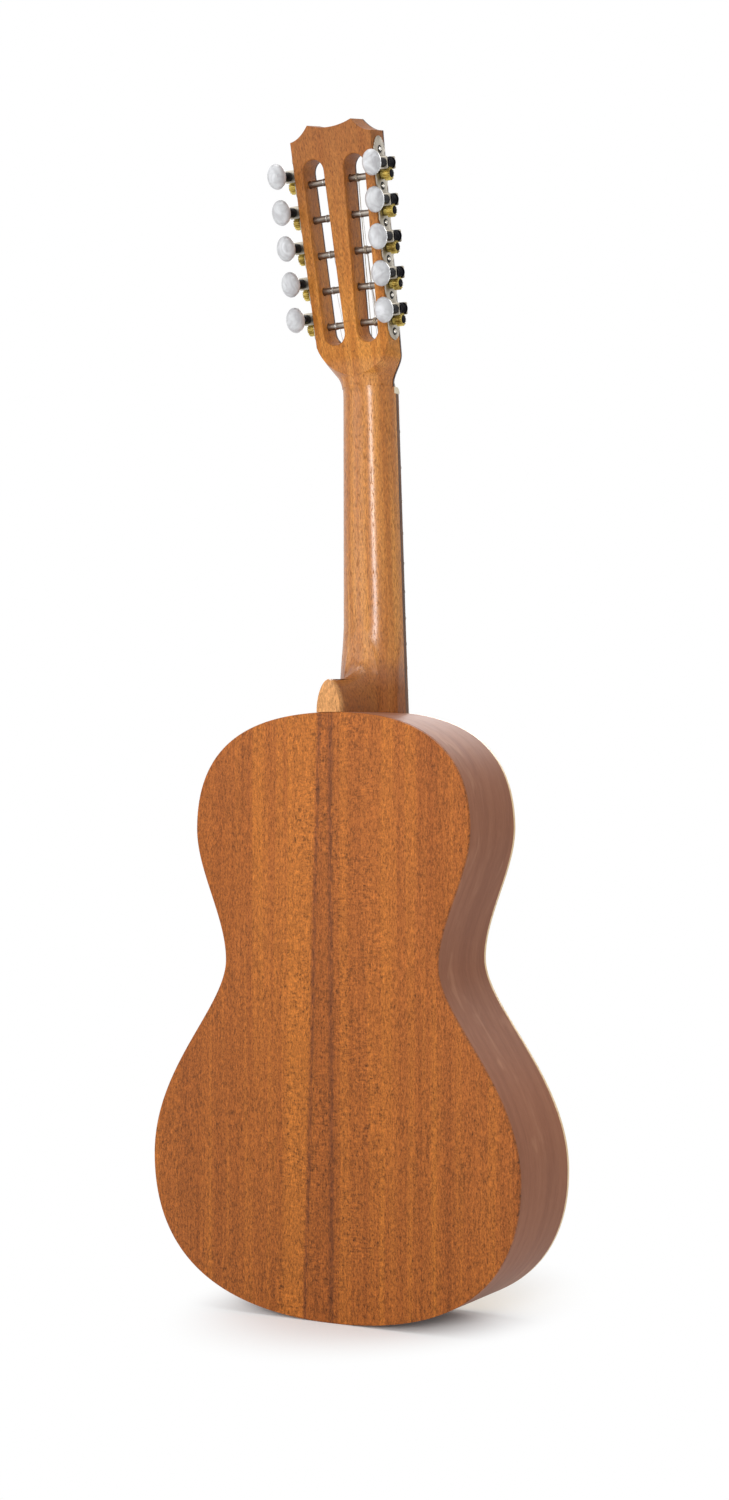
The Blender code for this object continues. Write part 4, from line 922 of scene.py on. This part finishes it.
def makeNeck():
    # rings stand close where the heel, the nut and the headstock's root bend
    box, tip = soundBox["length"], heelTip
    heights = [box - 8 + i * 1.6 for i in range(20) if box - 8 + i * 1.6 < tip - 0.4]
    heights += [tip + up for up in (0, 0.3, 1, 2, 3.5, 5, 7, 9, 12, 16, 22, 30, 40, 55)]
    heights += [tip + 55 + i * 12 for i in range(1, 11) if tip + 55 + i * 12 < nutHeight - 16]
    heights += [nutHeight - 14 + i * 1.4 for i in range(10)]
    heights += [nutHeight + 4.95, nutHeight + 5.05] + [nutHeight + 5.8 + i * 1.1 for i in range(33)]
    neck = skin("neck", [neckRing(h) for h in sorted(heights)])
    start, shoulder = neckShape["tongueStart"], neckShape["shoulder"]
    low = [Vector((0, start))]
    for i in range(1, 15):
        distance = start + (shoulder + 1 - start) * (i / 14) ** 2
        low.append(Vector((tongueHalf(distance), distance)))
    low.append(Vector((headHalf(shoulder + 2), shoulder + 2)))
    wood = neckShape["thick"] - neckShape["veneer"] - 0.02
    board = plate("headstock", headOutline(low), -wood, 0, 0.5)
    place(board, headFrame @ shift(0, neckShape["thick"], 0) @ toFront @ Matrix.Diagonal((1, 1, -1, 1)))
    tidyMesh(board)
    cut(neck, board, "UNION")

    half = neckHalf(nutHeight) + 4
    cut(neck, block("nut_seat", half, (-5, scale["nutSink"] + 0.02),
                    (nutHeight - 0.02, nutHeight + scale["nutThick"] + 0.02)))
    edge = [p for p in bodyHalf(-0.04)[0] if p.y > box - 25]
    outline = [Vector((-edge[0].x, edge[0].y - 20)), Vector((edge[0].x, edge[0].y - 20))] + mirrored(edge)
    cut(neck, place(plate("box_end", outline, 0, 110), upright(90)))
    for side in (1, -1):
        cut(neck, slotTool(side))
        cut(neck, rampTool(side))
        for number in range(5):
            hole = rod("post_hole", neckShape["postHole"], -29.4, 4, 20)
            cut(neck, place(hole, machineFrame(side, number)))
    tidyMesh(neck, 0.002)
    finishPiece(neck, "neck_and_headstock", woods["neck"], ["neck"], 28)

    widenFrom, widenTo = neckShape["widenFrom"], neckShape["widenTo"]
    first = Vector((neckHalf(nutHeight) + 0.3, scale["nutThick"] - neckShape["start"] + 0.1))
    low = [first]
    for i in range(1, 13):
        width = widened(first.x, headHalf(widenTo), i / 12)
        low.append(Vector((width, widenFrom + (widenTo - widenFrom) * (i / 12))))
    low.append(Vector((headHalf(shoulder), shoulder)))
    face = plate("veneer", headOutline(low), 0, neckShape["veneer"], 0.3, 2)
    place(face, headFrame @ upright(neckShape["veneer"]))
    for side in (1, -1):
        cut(face, slotTool(side))
        cut(face, rampTool(side))
    finishPiece(face, "headstock_face", woods["veneer"], ["headstock_veneer"], 30)


def fretPlace(number):
    return nutHeight - scale["length"] * (1 - 2 ** (-number / 12))


def makeFingerboard():
    end = fretPlace(scale["frets"]) - scale["overhang"]
    thick = scale["boardThick"]
    outline = mirrored([Vector((neckHalf(end), end)), Vector((neckHalf(nutHeight), nutHeight - 0.05))])
    board = place(plate("fingerboard", outline, -gap + 0.02, thick, 0.5), upright(-gap))
    overBox = [(-60, end - 9), (60, end - 9), (60, soundBox["length"]), (-60, soundBox["length"])]
    cut(board, place(plate("over_box", overBox, -5, -0.02), upright(-gap)))
    finishPiece(board, "fingerboard_wood", woods["board"], ["fingerboard"], 30)
    model = fretModel()
    frets = []
    for number in range(1, scale["frets"] + 1):
        height = fretPlace(number)
        fret = copyOf(model, "fret")
        place(fret, shift(0, -gap - thick, height) @ Matrix.Diagonal((neckHalf(height), 1, 1, 1)))
        frets.append(fret)
    bpy.data.objects.remove(model, do_unlink=True)
    finishPiece(join(frets), "frets", others["fret"], ["fingerboard"], 50)
    dots, radius = [], scale["dotRadius"]
    for number in scale["dots"]:
        height = (fretPlace(number) + fretPlace(number - 1)) / 2
        dot = turned("dot", [(radius, -0.3), (radius, 0.03), (radius - 0.4, 0.06), (0, 0.06)], 28)
        dots.append(place(dot, shift(0, -gap - thick, height) @ toFront))
    finishPiece(join(dots), "fingerboard_dots", others["dot"], ["fingerboard"])


def fretModel():
    # a crowned wire one unit long each way, its ends rounded over
    half, high = scale["fretWidth"] / 2, scale["fretHeight"]
    rings = []
    for x, full in bothEnds(((1, 0.45), (0.985, 0.85), (0.96, 1))):
        ring = [(x, 0.25, half * 0.8), (x, 0.25, -half * 0.8)]
        for i in range(13):
            angle = math.pi * i / 12
            ring.append((x, -high * full * math.sin(angle) ** 0.8, -half * math.cos(angle)))
        rings.append(ring)
    return skin("fret_model", rings)


def stringAcross(number, where):
    course, pair = scale[where + "Course"], scale[where + "Pair"]
    return (number // 2 - 2) * course + (number % 2 - 0.5) * pair


def makeNut():
    low, high = nutHeight, nutHeight + scale["nutThick"]
    top = stringAtNut - 0.12
    profile = [(low, scale["nutSink"]), (low, -top + 0.9), (low + 0.25, -top + 0.3), (low + 0.9, -top),
               (low + 2.0, -top + 0.12), (high - 1.6, -top + 0.9), (high - 0.5, -top + 2.0),
               (high, -top + 3.2), (high, scale["nutSink"])]
    nut = bar("nut", profile, neckHalf(nutHeight), ((1, 0.5), (0.985, 0.1), (0.96, 0)))
    for number in range(10):
        x = stringAcross(number, "nut")
        groove = [(x, -stringAtNut - 0.02, low - 4), (x, -stringAtNut, low),
                  (x, -stringAtNut + 0.45, low + 3.2), (x, -stringAtNut + 1.6, high + 2)]
        cut(nut, wire("groove", groove, scale["gauges"][number] / 2 + 0.04))
    finishPiece(nut, "nut_bone", others["bone"], ["nut"])


# bridge and saddle

bridgeShape = {
    "length": 150.0, "blockLength": 82.0, "wing": 3.0, "height": 7.4, "behind": 16, "before": 9,
    "saddleThick": 2.6, "saddleLength": 74.0, "slotDepth": 4.6,
    "hole": 0.9, "holeDepth": 3.0, "past": 1.5,     # for the strings, below the tie block's top
}
bridgeRear = saddleHeight - bridgeShape["behind"]
stringAnchor = -gap - bridgeShape["height"] + bridgeShape["holeDepth"]


def makeBridge():
    rear, front = bridgeRear, saddleHeight + bridgeShape["before"]
    half, blockHalf = bridgeShape["length"] / 2, bridgeShape["blockLength"] / 2
    middle = (rear + front) / 2
    corners = [Vector(p) for p in (
        (blockHalf + 6, front), (blockHalf + 15, middle + 4), (half - 16, middle + 3),
        (half - 6, middle + 10), (half + 1.6, middle + 5), (half + 1.6, middle - 5),
        (half - 6, middle - 10), (half - 16, middle - 3), (blockHalf + 15, middle - 4),
        (blockHalf + 6, rear))]
    wing = [Vector((0, front)), corners[0]]
    for first, steps in ((0, 20), (3, 16), (6, 20)):
        wing += [Vector(p) for p in interpolate_bezier(*corners[first:first + 4], steps)][1:]
    wing.append(Vector((0, rear)))
    bridge = place(plate("bridge", mirrored(wing), -gap + 0.02, bridgeShape["wing"], 1.1, 4), upright(-gap))
    low = -gap - 0.5
    high = -gap - bridgeShape["height"]
    valley = -gap - bridgeShape["wing"] - 0.2
    profile = [(front - 0.3, low), (front - 0.3, high + 2.4), (front - 0.9, high + 1.1),
               (front - 2.2, high + 0.25), (front - 3.6, high), (saddleHeight - 2.6, high),
               (saddleHeight - 3.4, high + 0.6), (saddleHeight - 4.2, valley), (saddleHeight - 8.4, valley),
               (saddleHeight - 9.2, high + 1.6), (saddleHeight - 9.8, high + 1.0), (rear + 1.4, high + 1.0),
               (rear + 0.6, high + 1.5), (rear + 0.3, high + 2.4), (rear + 0.3, low)]
    body = skin("block", [[(x * blockHalf, y, z) for z, y in profile] for x in (-1, 1)])
    modify(body, "BEVEL", width=0.35, segments=2, limit_method="ANGLE", angle_limit=math.radians(60))
    cut(bridge, body, "UNION")
    wide = bridgeShape["saddleThick"] / 2 + 0.03
    long = bridgeShape["saddleLength"] / 2 + 0.03
    deep = high + bridgeShape["slotDepth"] + 0.05
    cut(bridge, block("saddle_slot", long, (high - 3, deep), (saddleHeight - wide, saddleHeight + wide)))
    for number in range(10):
        x = stringAcross(number, "bridge")
        hole = rod("hole", bridgeShape["hole"], rear - 2, saddleHeight - 7, 16)
        cut(bridge, place(hole, shift(x, stringAnchor, 0)))
    finishPiece(bridge, "bridge_wood", woods["bridge"], ["bridge"], 30)

    top = -stringAtSaddle + 0.2
    half = bridgeShape["saddleThick"] / 2
    bottom = high + bridgeShape["slotDepth"]
    profile = [(saddleHeight + half, bottom), (saddleHeight + half, top + 1.1),
               (saddleHeight + half * 0.8, top + 0.5), (saddleHeight + half * 0.4, top + 0.1),
               (saddleHeight, top), (saddleHeight - half * 0.4, top + 0.1),
               (saddleHeight - half * 0.8, top + 0.5), (saddleHeight - half, top + 1.1),
               (saddleHeight - half, bottom)]
    saddle = bar("saddle", profile, bridgeShape["saddleLength"] / 2,
                 ((1, 1.2), (0.992, 0.5), (0.98, 0.1), (0.96, 0)))
    for number in range(10):
        x = stringAcross(number, "bridge")
        groove = [(x, -stringAtSaddle + 0.9, saddleHeight - 3), (x, -stringAtSaddle, saddleHeight),
                  (x, -stringAtSaddle, saddleHeight + 3)]
        cut(saddle, wire("groove", groove, scale["gauges"][number] / 2 + 0.03))
    finishPiece(saddle, "saddle_bone", others["bone"], ["saddle"])


# tuning machines

machine = {
    "pitch": 26.0, "first": 50.8, "postFromBack": 9.3, "postRadius": 2.5, "postLength": 28.4,
    "axle": 7.8, "teeth": 14, "out": 6.6, "gearThick": 4.6, "toothShare": 0.38, "pressure": math.radians(20),
    "rootShare": 1.25, "threadTurns": 2.5, "threadRunOut": 0.3, "threadSteps": 36, "wormInModules": 11.6,
    "shaft": 1.6, "collar": 3.5, "flange": 4.45,
    "plate": 0.9, "plateHalf": 8.0, "waistHalf": 6.7, "screwDrop": 8.0, "screwHole": 2.95,
    "earThick": 1.0, "earHalf": 4.5, "earTop": 3.3, "ear": 5.7, "buttonFoot": 7.4, "buttonLength": 12.6,
    "buttonHalf": 9.3, "buttonWide": 6.9, "belly": 0.52, "foot": 3.6, "bore": 4.5, "run": 0.4,
    "screwTurns": (20, 75, 140, 50, 110, 165),      # how each plate screw's slot happens to stand
}
module = 2 * machine["axle"] / (machine["teeth"] + machine["wormInModules"])
gearRadius = module * machine["teeth"] / 2
wormRadius = machine["axle"] - gearRadius
wormLead = math.pi * module
rootDepth = machine["rootShare"] * module
gearInner, gearOuter = (machine["out"] + end * machine["gearThick"] / 2 for end in (-1, 1))
buttonStart = machine["postFromBack"] + machine["buttonFoot"]      # along the worm's shaft


def machineFrame(side, number):
    # on the headstock's side at a post: Z out of the wood, X up the headstock
    distance = machine["first"] + number * machine["pitch"]
    origin = Vector((side * headHalf(distance), neckShape["thick"] - machine["postFromBack"], distance))
    out = Vector((side * math.cos(sideLean), 0, -math.sin(sideLean)))
    up = Vector((side * math.sin(sideLean), 0, math.cos(sideLean)))
    local = Matrix((up, out.cross(up), out)).transposed().to_4x4()
    return headFrame @ Matrix.Translation(origin) @ local


def wormFrame(side, number):
    # Z along the shaft to the button, X towards the gear
    at = machineFrame(side, number)
    back = (headFrame.to_3x3() @ Vector((0, 1, 0))).normalized()
    towards = -at.col[0].to_3d()
    local = Matrix((towards, back.cross(towards), back)).transposed().to_4x4()
    return Matrix.Translation(at @ Vector((machine["axle"], 0, machine["out"]))) @ local


def makeGear():
    root, tip = gearRadius - rootDepth, gearRadius + module
    pitch = 2 * math.pi / machine["teeth"]
    half = machine["toothShare"] * pitch / 2
    slope = math.tan(machine["pressure"])
    atTip = half - module * slope / tip
    atRoot = half + rootDepth * slope / root
    twist = wormLead / (2 * math.pi * wormRadius) / gearRadius
    rings = []
    for level, ease in ((-0.5, 0.25), (-0.44, 0), (-0.2, 0), (0.2, 0), (0.44, 0), (0.5, 0.25)):
        z = machine["out"] + level * machine["gearThick"]
        flank = [(root, atRoot * 1.12)]
        flank += [(root + (tip - ease - root) * up, atRoot + (atTip - atRoot) * up) for up in (0, 0.5, 1)]
        ring = []
        for tooth in range(machine["teeth"]):
            middle = (tooth + 0.5) * pitch + twist * level * machine["gearThick"]
            for radius, angle in [(r, -a) for r, a in flank] + flank[::-1]:
                ring.append((radius * math.cos(middle + angle), radius * math.sin(middle + angle), z))
        rings.append(ring)
    wheel = skin("gear", rings)
    inner, outer = gearInner, gearOuter
    foot = gap + machine["plate"] + 0.25
    hub = turned("hub", [(0, outer + 0.35), (3.1, outer + 0.35), (3.3, outer + 0.1), (3.3, inner - 0.2),
                         (3.6, inner - 0.5), (3.6, foot + 0.3), (3.3, foot), (0, foot)], 40)
    cut(wheel, hub, "UNION")
    return wheel


def makePost():
    end, radius, inside = machine["postLength"], machine["postRadius"], gearInner - 0.7
    return turned("post", [(0, inside), (radius, inside), (radius, -end + 0.6), (radius - 0.5, -end),
                           (0, -end)], 32)


def makeGearScrew():
    outer = gearOuter + 0.3
    screw = turned("gear_screw", [(0, outer + 1.2), (1.2, outer + 1.14), (2.1, outer + 0.95),
                                  (2.75, outer + 0.6), (3.0, outer + 0.2), (3.0, outer - 0.2),
                                  (0, outer - 0.2)], 32)
    cut(screw, block("screw_slot", 4, (-0.35, 0.35), (outer + 0.55, outer + 3)))
    return screw


def makeWorm():
    # shaft, collar and cap turned in one, then the thread wound on with its ends run out
    inside = machine["ear"] - machine["earThick"] / 2 - machine["run"]
    outside = machine["ear"] + machine["earThick"] / 2 + machine["run"]
    root, tip = wormRadius - rootDepth, wormRadius + module
    shaft, collar, flange = machine["shaft"], machine["collar"], machine["flange"]
    end = buttonStart - 0.25
    far = buttonStart + machine["bore"] - 0.2      # the shaft's end, inside the button
    profile = [(0, far), (shaft, far), (shaft, end), (collar * 0.8, end), (collar, end - 0.5),
               (collar, end - 1.8), (collar - 0.35, end - 2.1), (collar - 0.35, end - 2.5),
               (collar, end - 2.8), (collar, outside + 0.4), (collar - 0.4, outside), (shaft, outside),
               (shaft, inside), (flange - 0.3, inside), (flange, inside - 0.3), (flange, inside - 0.8),
               (root, inside - 1.0), (root, -inside + 1.0), (flange, -inside + 0.8),
               (flange, -inside + 0.3), (flange - 0.3, -inside), (shaft, -inside), (shaft, -outside),
               (2.0, -outside), (2.4, -outside - 0.4), (2.4, -outside - 1.0), (1.9, -outside - 1.4),
               (0, -outside - 1.4)]
    worm = turned("worm", profile, 40)
    slope = math.tan(machine["pressure"])
    wideRoot = machine["toothShare"] * wormLead / 2 + rootDepth * slope
    wideTip = machine["toothShare"] * wormLead / 2 - module * slope
    perTurn, runOut = machine["threadSteps"], machine["threadRunOut"]
    full = machine["threadTurns"] / 2
    rings = []
    steps = int((full + runOut) * perTurn)
    for step in range(-steps, steps + 1):
        turns = step / perTurn
        fade = min(1, max(0, (full + runOut - abs(turns)) / runOut)) if abs(turns) > full else 1
        high = root - 0.25 + (tip - root + 0.25) * max(fade, 0.02)
        angle = 2 * math.pi * turns
        ring = []
        for radius, z in ((root - 0.3, -wideRoot), (root, -wideRoot), (high, -wideTip), (high, wideTip),
                          (root, wideRoot), (root - 0.3, wideRoot)):
            radius = min(radius, high)
            ring.append((radius * math.cos(angle), radius * math.sin(angle), wormLead * turns + z))
        rings.append(ring)
    return join([worm, skin("thread", rings)])


def makeButton():
    foot, end = buttonStart, buttonStart + machine["buttonLength"]
    half, start = machine["buttonHalf"], machine["foot"]
    bore = machine["shaft"] + 0.1
    belly = end - machine["buttonLength"] * machine["belly"]      # the height of its widest place
    profile = [(0, end)]
    for i in range(1, 15):
        angle = math.pi / 2 * i / 14
        profile.append((half * math.sin(angle) ** 0.92, belly + (end - belly) * math.cos(angle) ** 0.95))
    for i in range(1, 11):
        angle = math.pi / 2 * i / 10
        profile.append((start + 0.2 + (half - start - 0.2) * math.cos(angle) ** 0.75,
                        belly - (belly - foot - 0.9) * math.sin(angle) ** 1.2))
    profile += [(start, foot + 0.4), (start - 0.35, foot), (bore, foot), (bore, foot + machine["bore"]),
                (0, foot + machine["bore"])]
    button = turned("button", profile, 56)
    oval = machine["buttonWide"] / half
    for vertex in button.data.vertices:
        out = Vector((vertex.co.x, vertex.co.y)).length
        share = min(max((out - start) / 2.0, 0), 1)
        vertex.co.y *= 1 + (oval - 1) * share
    return button


def plateOutline():
    # half widths up the plate, from its scalloped lower end past the machines to the upper one
    waist, wide = machine["waistHalf"], machine["plateHalf"]
    half = [(-14.4, 0.3), (-14.3, 1.1), (-13.9, 1.8), (-13.4, 2.1), (-13.5, 2.9), (-13.0, 3.7), (-12.3, 4.0),
            (-12.3, 4.8), (-11.8, 5.5), (-11.0, 5.7), (-10.8, 6.2), (-10.2, 6.6)]
    for number in range(5):
        post = number * machine["pitch"]
        low = post - machine["screwDrop"]
        half += [(low - 1.5, waist), (low - 0.6, waist + 0.3), (low + 1.2, 7.85), (low + 1.9, wide),
                 (post + 1.6, wide), (post + 2.1, 7.8), (post + 3.2, waist + 0.15), (post + 4.0, waist)]
    last = 5 * machine["pitch"] - machine["screwDrop"]
    end = [(-3.2, waist), (-2.0, 7.2), (-0.8, 7.7), (1.2, 7.7), (2.2, 7.4), (2.7, 6.9), (2.9, 6.5),
           (3.6, 6.7), (4.4, 6.5), (5.0, 5.9), (5.1, 5.3), (5.7, 5.4), (6.5, 5.1), (7.0, 4.5), (7.0, 3.9),
           (7.6, 3.9), (8.2, 3.5), (8.5, 2.9), (8.5, 2.3), (9.0, 2.1), (9.3, 1.4), (9.4, 0.5)]
    half += [(last + d, w) for d, w in end]
    return [Vector(p) for p in half] + [Vector((d, -w)) for d, w in reversed(half)]


def makeEar():
    reach, half = machine["out"] - gap, machine["earHalf"]
    top = reach + machine["earTop"]
    right = [Vector(p) for p in ((half + 0.9, 0.2), (half + 0.3, 0.9), (half, 1.8), (half, top - 1.0),
                                 (half - 0.3, top - 0.3), (half - 1.0, top))]
    ear = plate("ear", mirrored(right), 0, machine["earThick"], 0.2, 2, both=True)
    cut(ear, place(rod("bore", machine["shaft"] + 0.25, -3, 5), shift(0, reach, 0)))
    return ear


def makeScrewShadowRing():
    # a black ring round a screw's head, in its countersink: painted shade standing for the shadow in the hole
    return turned("screw_seat", [(1.52, -0.5), (1.52, 0.02), (1.9, 0.12), (2.75, 0.06), (2.9, -0.02),
                                 (2.9, -0.5), (1.52, -0.5)], 28)


def makePlateScrew():
    screw = turned("plate_screw", [(0, 1.05), (0.5, 1.02), (0.95, 0.88), (1.3, 0.62), (1.5, 0.3), (1.5, -0.5),
                                   (0, -0.5)], 28)
    cut(screw, block("screw_slot", 3, (-0.18, 0.18), (0.6, 2)))
    return screw


# each machine's model, its piece's name, finish, body, colour slot and the CAD node it stands for
machinePieces = (
    ("gear", "gear_wheel", "brass", "post", "gear_brass", "tuner_gear"),
    ("post", "string_post", "steel", "post", "gear_brass", "tuner_gear"),
    ("screw", "gear_screw", "black", "post", "gear_brass", "tuner_gear"),
    ("worm", "worm_shaft", "black", "knob", "black_steel", "tuner_worm"),
    ("button", "knob_button", "pearl", "knob", "pearl", "tuner_button"),
)


def makeTunerPlate(label, side, ear, fixing, seat):
    at = machineFrame(side, 0)
    posts = [number * machine["pitch"] for number in range(5)]
    lows = [number * machine["pitch"] - machine["screwDrop"] for number in range(6)]
    sheet = plate("tuner_plate", plateOutline(), 0, machine["plate"], 0.18, 2)
    for post in posts:
        cut(sheet, place(rod("hole", machine["postRadius"] + 0.3, -3, 3), shift(post, 0, 0)))
    for low in lows:
        cut(sheet, place(rod("hole", machine["screwHole"], -3, 3), shift(low, 0, 0)))
    ears, screws, shadowRings = [], [], []
    for post in posts:
        for end in (-1, 1):
            across = end * machine["ear"] + machine["earThick"] / 2
            ears.append(place(copyOf(ear, "ear"), shift(post + machine["axle"], across, 0) @ toFront))
    for low, turn in zip(lows, machine["screwTurns"]):
        here = shift(low, 0, gap + machine["plate"])
        screws.append(place(copyOf(fixing, "screw"), here @ Matrix.Rotation(math.radians(turn), 4, "Z")))
        # each screw gets a black ring of painted shade round its head
        shadowRings.append(place(copyOf(seat, "seat"), here))
    full = place(join([sheet] + ears), at @ shift(0, 0, gap))
    screws, shadowRings = place(join(screws), at), place(join(shadowRings), at)
    for piece, name, finish, slot in ((full, "tuner_plate_metal_", "nickel", "nickel"),
                                      (screws, "tuner_plate_screws_", "screw", "nickel"),
                                      (shadowRings, "tuner_screw_seats_", "black", "black_steel")):
        finishPiece(piece, name + label, others[finish], ["tuner_plate_" + label])


def makeMachines():
    models = {"gear": makeGear(), "post": makePost(), "screw": makeGearScrew(), "worm": makeWorm(),
              "button": makeButton()}
    ear, fixing, seat = makeEar(), makePlateScrew(), makeScrewShadowRing()
    for label, side in (("left", 1), ("right", -1)):
        makeTunerPlate(label, side, ear, fixing, seat)
        for number in range(5):
            end = "_%s_%d" % (label, number + 1)
            frames = {"post": machineFrame(side, number), "knob": wormFrame(side, number)}
            for kind, name, finish, body, slot, node in machinePieces:
                piece = place(copyOf(models[kind], name), frames[body])
                finishPiece(piece, name + end, others[finish], [node + end], body=body + end)
    for model in (*models.values(), ear, fixing, seat):
        bpy.data.objects.remove(model, do_unlink=True)


# strings

windings = {
    "turns": 3, "air": 0.05, "perTurn": 28, "across": (15.8, 15.3, 14.4, 13.9, 13.4),
    "woundFrom": 0.6, "ballHalf": 1.2,
}


def stringRoute(number):
    # from the tie block over saddle and nut to the post, then round it, with the end sunk in the post
    radius = scale["gauges"][number] / 2
    bridgeX = stringAcross(number, "bridge")
    nutX = stringAcross(number, "nut")
    points = [Vector(p) for p in (
        (bridgeX, stringAnchor, bridgeRear - bridgeShape["past"]),
        (bridgeX, stringAnchor, saddleHeight - 8.8),
        (bridgeX, -stringAtSaddle + 0.25, saddleHeight - 1.0),
        (bridgeX, -stringAtSaddle, saddleHeight - 0.2),
        (bridgeX, -stringAtSaddle, saddleHeight + 0.4),
        (nutX, -stringAtNut, nutHeight),
        (nutX, -stringAtNut + 0.1, nutHeight + scale["nutThick"] * 0.3),
        (nutX, -stringAtNut + 0.3, nutHeight + scale["nutThick"] * 0.55))]
    side = 1 if number >= 5 else -1
    rank = (9 - number) if side > 0 else number
    at = machineFrame(side, rank)
    inverse = headFrame.inverted()
    start = inverse @ points[-1]
    centre = inverse @ at.translation
    axis = (inverse.to_3x3() @ at.col[2].to_3d()).normalized()
    middle = centre + axis * ((windings["across"][rank] * side - centre.x) / axis.x)
    coil = machine["postRadius"] + radius + 0.02
    offset = Vector((start.z - middle.z, start.y - middle.y))
    bearing = math.atan2(offset.y, offset.x) + math.acos(coil / offset.length)
    pitch = 2 * radius + windings["air"]
    total = windings["perTurn"] * windings["turns"]
    for i in range(total + 1):
        angle = bearing + 2 * math.pi * i / windings["perTurn"]
        across = middle + axis * (pitch * i / windings["perTurn"])
        points.append(headFrame @ (across + Vector((0, coil * math.sin(angle), coil * math.cos(angle)))))
    for share in (0.8, 0.3):
        angle = bearing + 2 * math.pi * (total + 2.5) / windings["perTurn"]
        across = middle + axis * (pitch * (total + 3) / windings["perTurn"])
        points.append(headFrame @ (across + Vector((0, math.sin(angle), math.cos(angle))) * coil * share))
    return points, radius


def makeStrings():
    ends = []
    for number in range(10):
        points, radius = stringRoute(number)
        node = "string_%d%s" % (5 - number // 2, "ab"[number % 2])
        finish = others["wound" if scale["gauges"][number] >= windings["woundFrom"] else "plain"]
        piece = wire(node, points, radius)
        finishPiece(piece, node + "_wire", finish, [node], 60)
        end = windings["ballHalf"]
        ball = turned("ball_end", [(0, -end), (0.8, -end), (1.1, -0.9), (0.85, -0.2), (0.85, 0.2), (1.1, 0.9),
                                   (0.8, end), (0, end)], 20)
        ends.append(place(ball, shift(points[0].x, points[0].y, bridgeRear - 1.3)))
    finishPiece(join(ends), "string_ball_ends", others["brass"], ["string_1a"])


print("box")
makeBack()
makeRibs()
makeSoundboard()
print("neck and headstock")
makeNeck()
makeFingerboard()
makeNut()
print("bridge")
makeBridge()
print("tuning machines")
makeMachines()
print("strings")
makeStrings()

# these stay as the CAD has them, inside the box, and only get their wood
insideBox = {
    "tail_block": "block", "neck_block": "block", "soundboard_brace_upper": "brace",
    "soundboard_brace_lower": "brace", "back_brace_upper": "brace", "back_brace_lower": "brace",
}
for node, wood in insideBox.items():
    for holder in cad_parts[node].material_slots:
        holder.material = woods[wood]


# floor, light and camera

def makeFloor():
    look = {
        "size": 12.0, "grey": 0.80, "lift": 0.04,
        "forward": 0.03, "deep": 0.75, "shadeFrom": 0.06, "shadeTo": 0.15,
    }
    deselect()
    bpy.ops.mesh.primitive_plane_add(size=look["size"])
    floor = bpy.context.object
    floor.name = "floor"
    f = Finish("floor_white")
    f.tree.nodes.remove(f.shader)
    # the floor is plain white, but for an oval round the tail that takes the shadow
    deep = (f.y + look["forward"]) * look["deep"]
    away = (f.x * f.x + deep * deep) ** 0.5
    blend = away.step(look["shadeFrom"], look["shadeTo"])
    straight = f.straight()
    matt = f.node("BsdfDiffuse", inputs={"Color": (look["grey"],) * 3})
    lift = f.node("Emission", inputs={"Color": (1.0, 1.0, 1.0), "Strength": straight * look["lift"]})
    white = f.node("Emission", inputs={"Color": (1.0, 1.0, 1.0), "Strength": 1.0})
    near = f.node("AddShader", inputs={0: matt, 1: lift})
    far = f.node("MixShader", inputs={0: straight, 1: matt, 2: white})
    both = f.node("MixShader", inputs={0: blend, 1: near, 2: far})
    f.feed(f.tree.nodes["Material Output"].inputs[0], both)
    floor.data.materials.append(f.material)


def makeWorld():
    light = {"strength": 0.38}      # what falls on the object; where the world itself is seen it is white
    world = bpy.data.worlds.new("studio")
    bpy.context.scene.world = world
    world.use_nodes = True
    f = Nodes(world.node_tree)
    shade = world.node_tree.nodes["Background"]
    f.feed(shade.inputs[0], (1.0, 1.0, 1.0))
    f.feed(shade.inputs[1], f.straight() * (1 - light["strength"]) + light["strength"])


lamps = {
    "key": {"spot": (1.15, 1.85, 1.25), "target": (0, 0, 0.42), "size": (2.0, 2.0), "power": 19},
    "strip": {"spot": (-0.80, 1.84, 0.78), "target": (0, 0, 0.6), "size": (0.30, 0.48), "power": 17},
    "overhead": {"spot": (0.1, 0.1, 5.0), "target": (0, 0, 0), "size": (3.6, 3.6), "power": 110},
    "front_fill": {"spot": (0.4, -2.2, 1.2), "target": (0, 0, 0.42), "size": (1.4, 1.4), "power": 24},
}


def makeLights():
    for name, settings in lamps.items():
        deselect()
        bpy.ops.object.light_add(type="AREA", location=settings["spot"])
        lamp = bpy.context.object
        lamp.name = name
        lamp.data.shape = "RECTANGLE"
        lamp.data.size, lamp.data.size_y = settings["size"]
        lamp.data.energy = settings["power"]
        aim = Vector(settings["target"]) - Vector(settings["spot"])
        lamp.rotation_euler = aim.to_track_quat("-Z", "Y").to_euler()


photoView = {
    "place": (-0.9280, 1.5392, 0.4125), "lens": 59.0, "sensor": 36.0,
    "right": (-0.85877, -0.51213, -0.01558), "up": (-0.01258, -0.00933, 0.99988),
    "back": (-0.51221, 0.85886, 0.00157),
}


def makeCamera():
    deselect()
    bpy.ops.object.camera_add()
    camera = bpy.context.object
    turn = Matrix([photoView[way] for way in ("right", "up", "back")]).transposed().to_4x4()
    camera.matrix_world = shift(*photoView["place"]) @ turn
    camera.data.lens = photoView["lens"]
    camera.data.sensor_width = photoView["sensor"]
    bpy.context.scene.camera = camera


print("floor, light and camera")
makeFloor()
makeWorld()
makeLights()
makeCamera()
bpy.context.scene.view_settings.view_transform = "Standard"

bpy.context.view_layer.update()
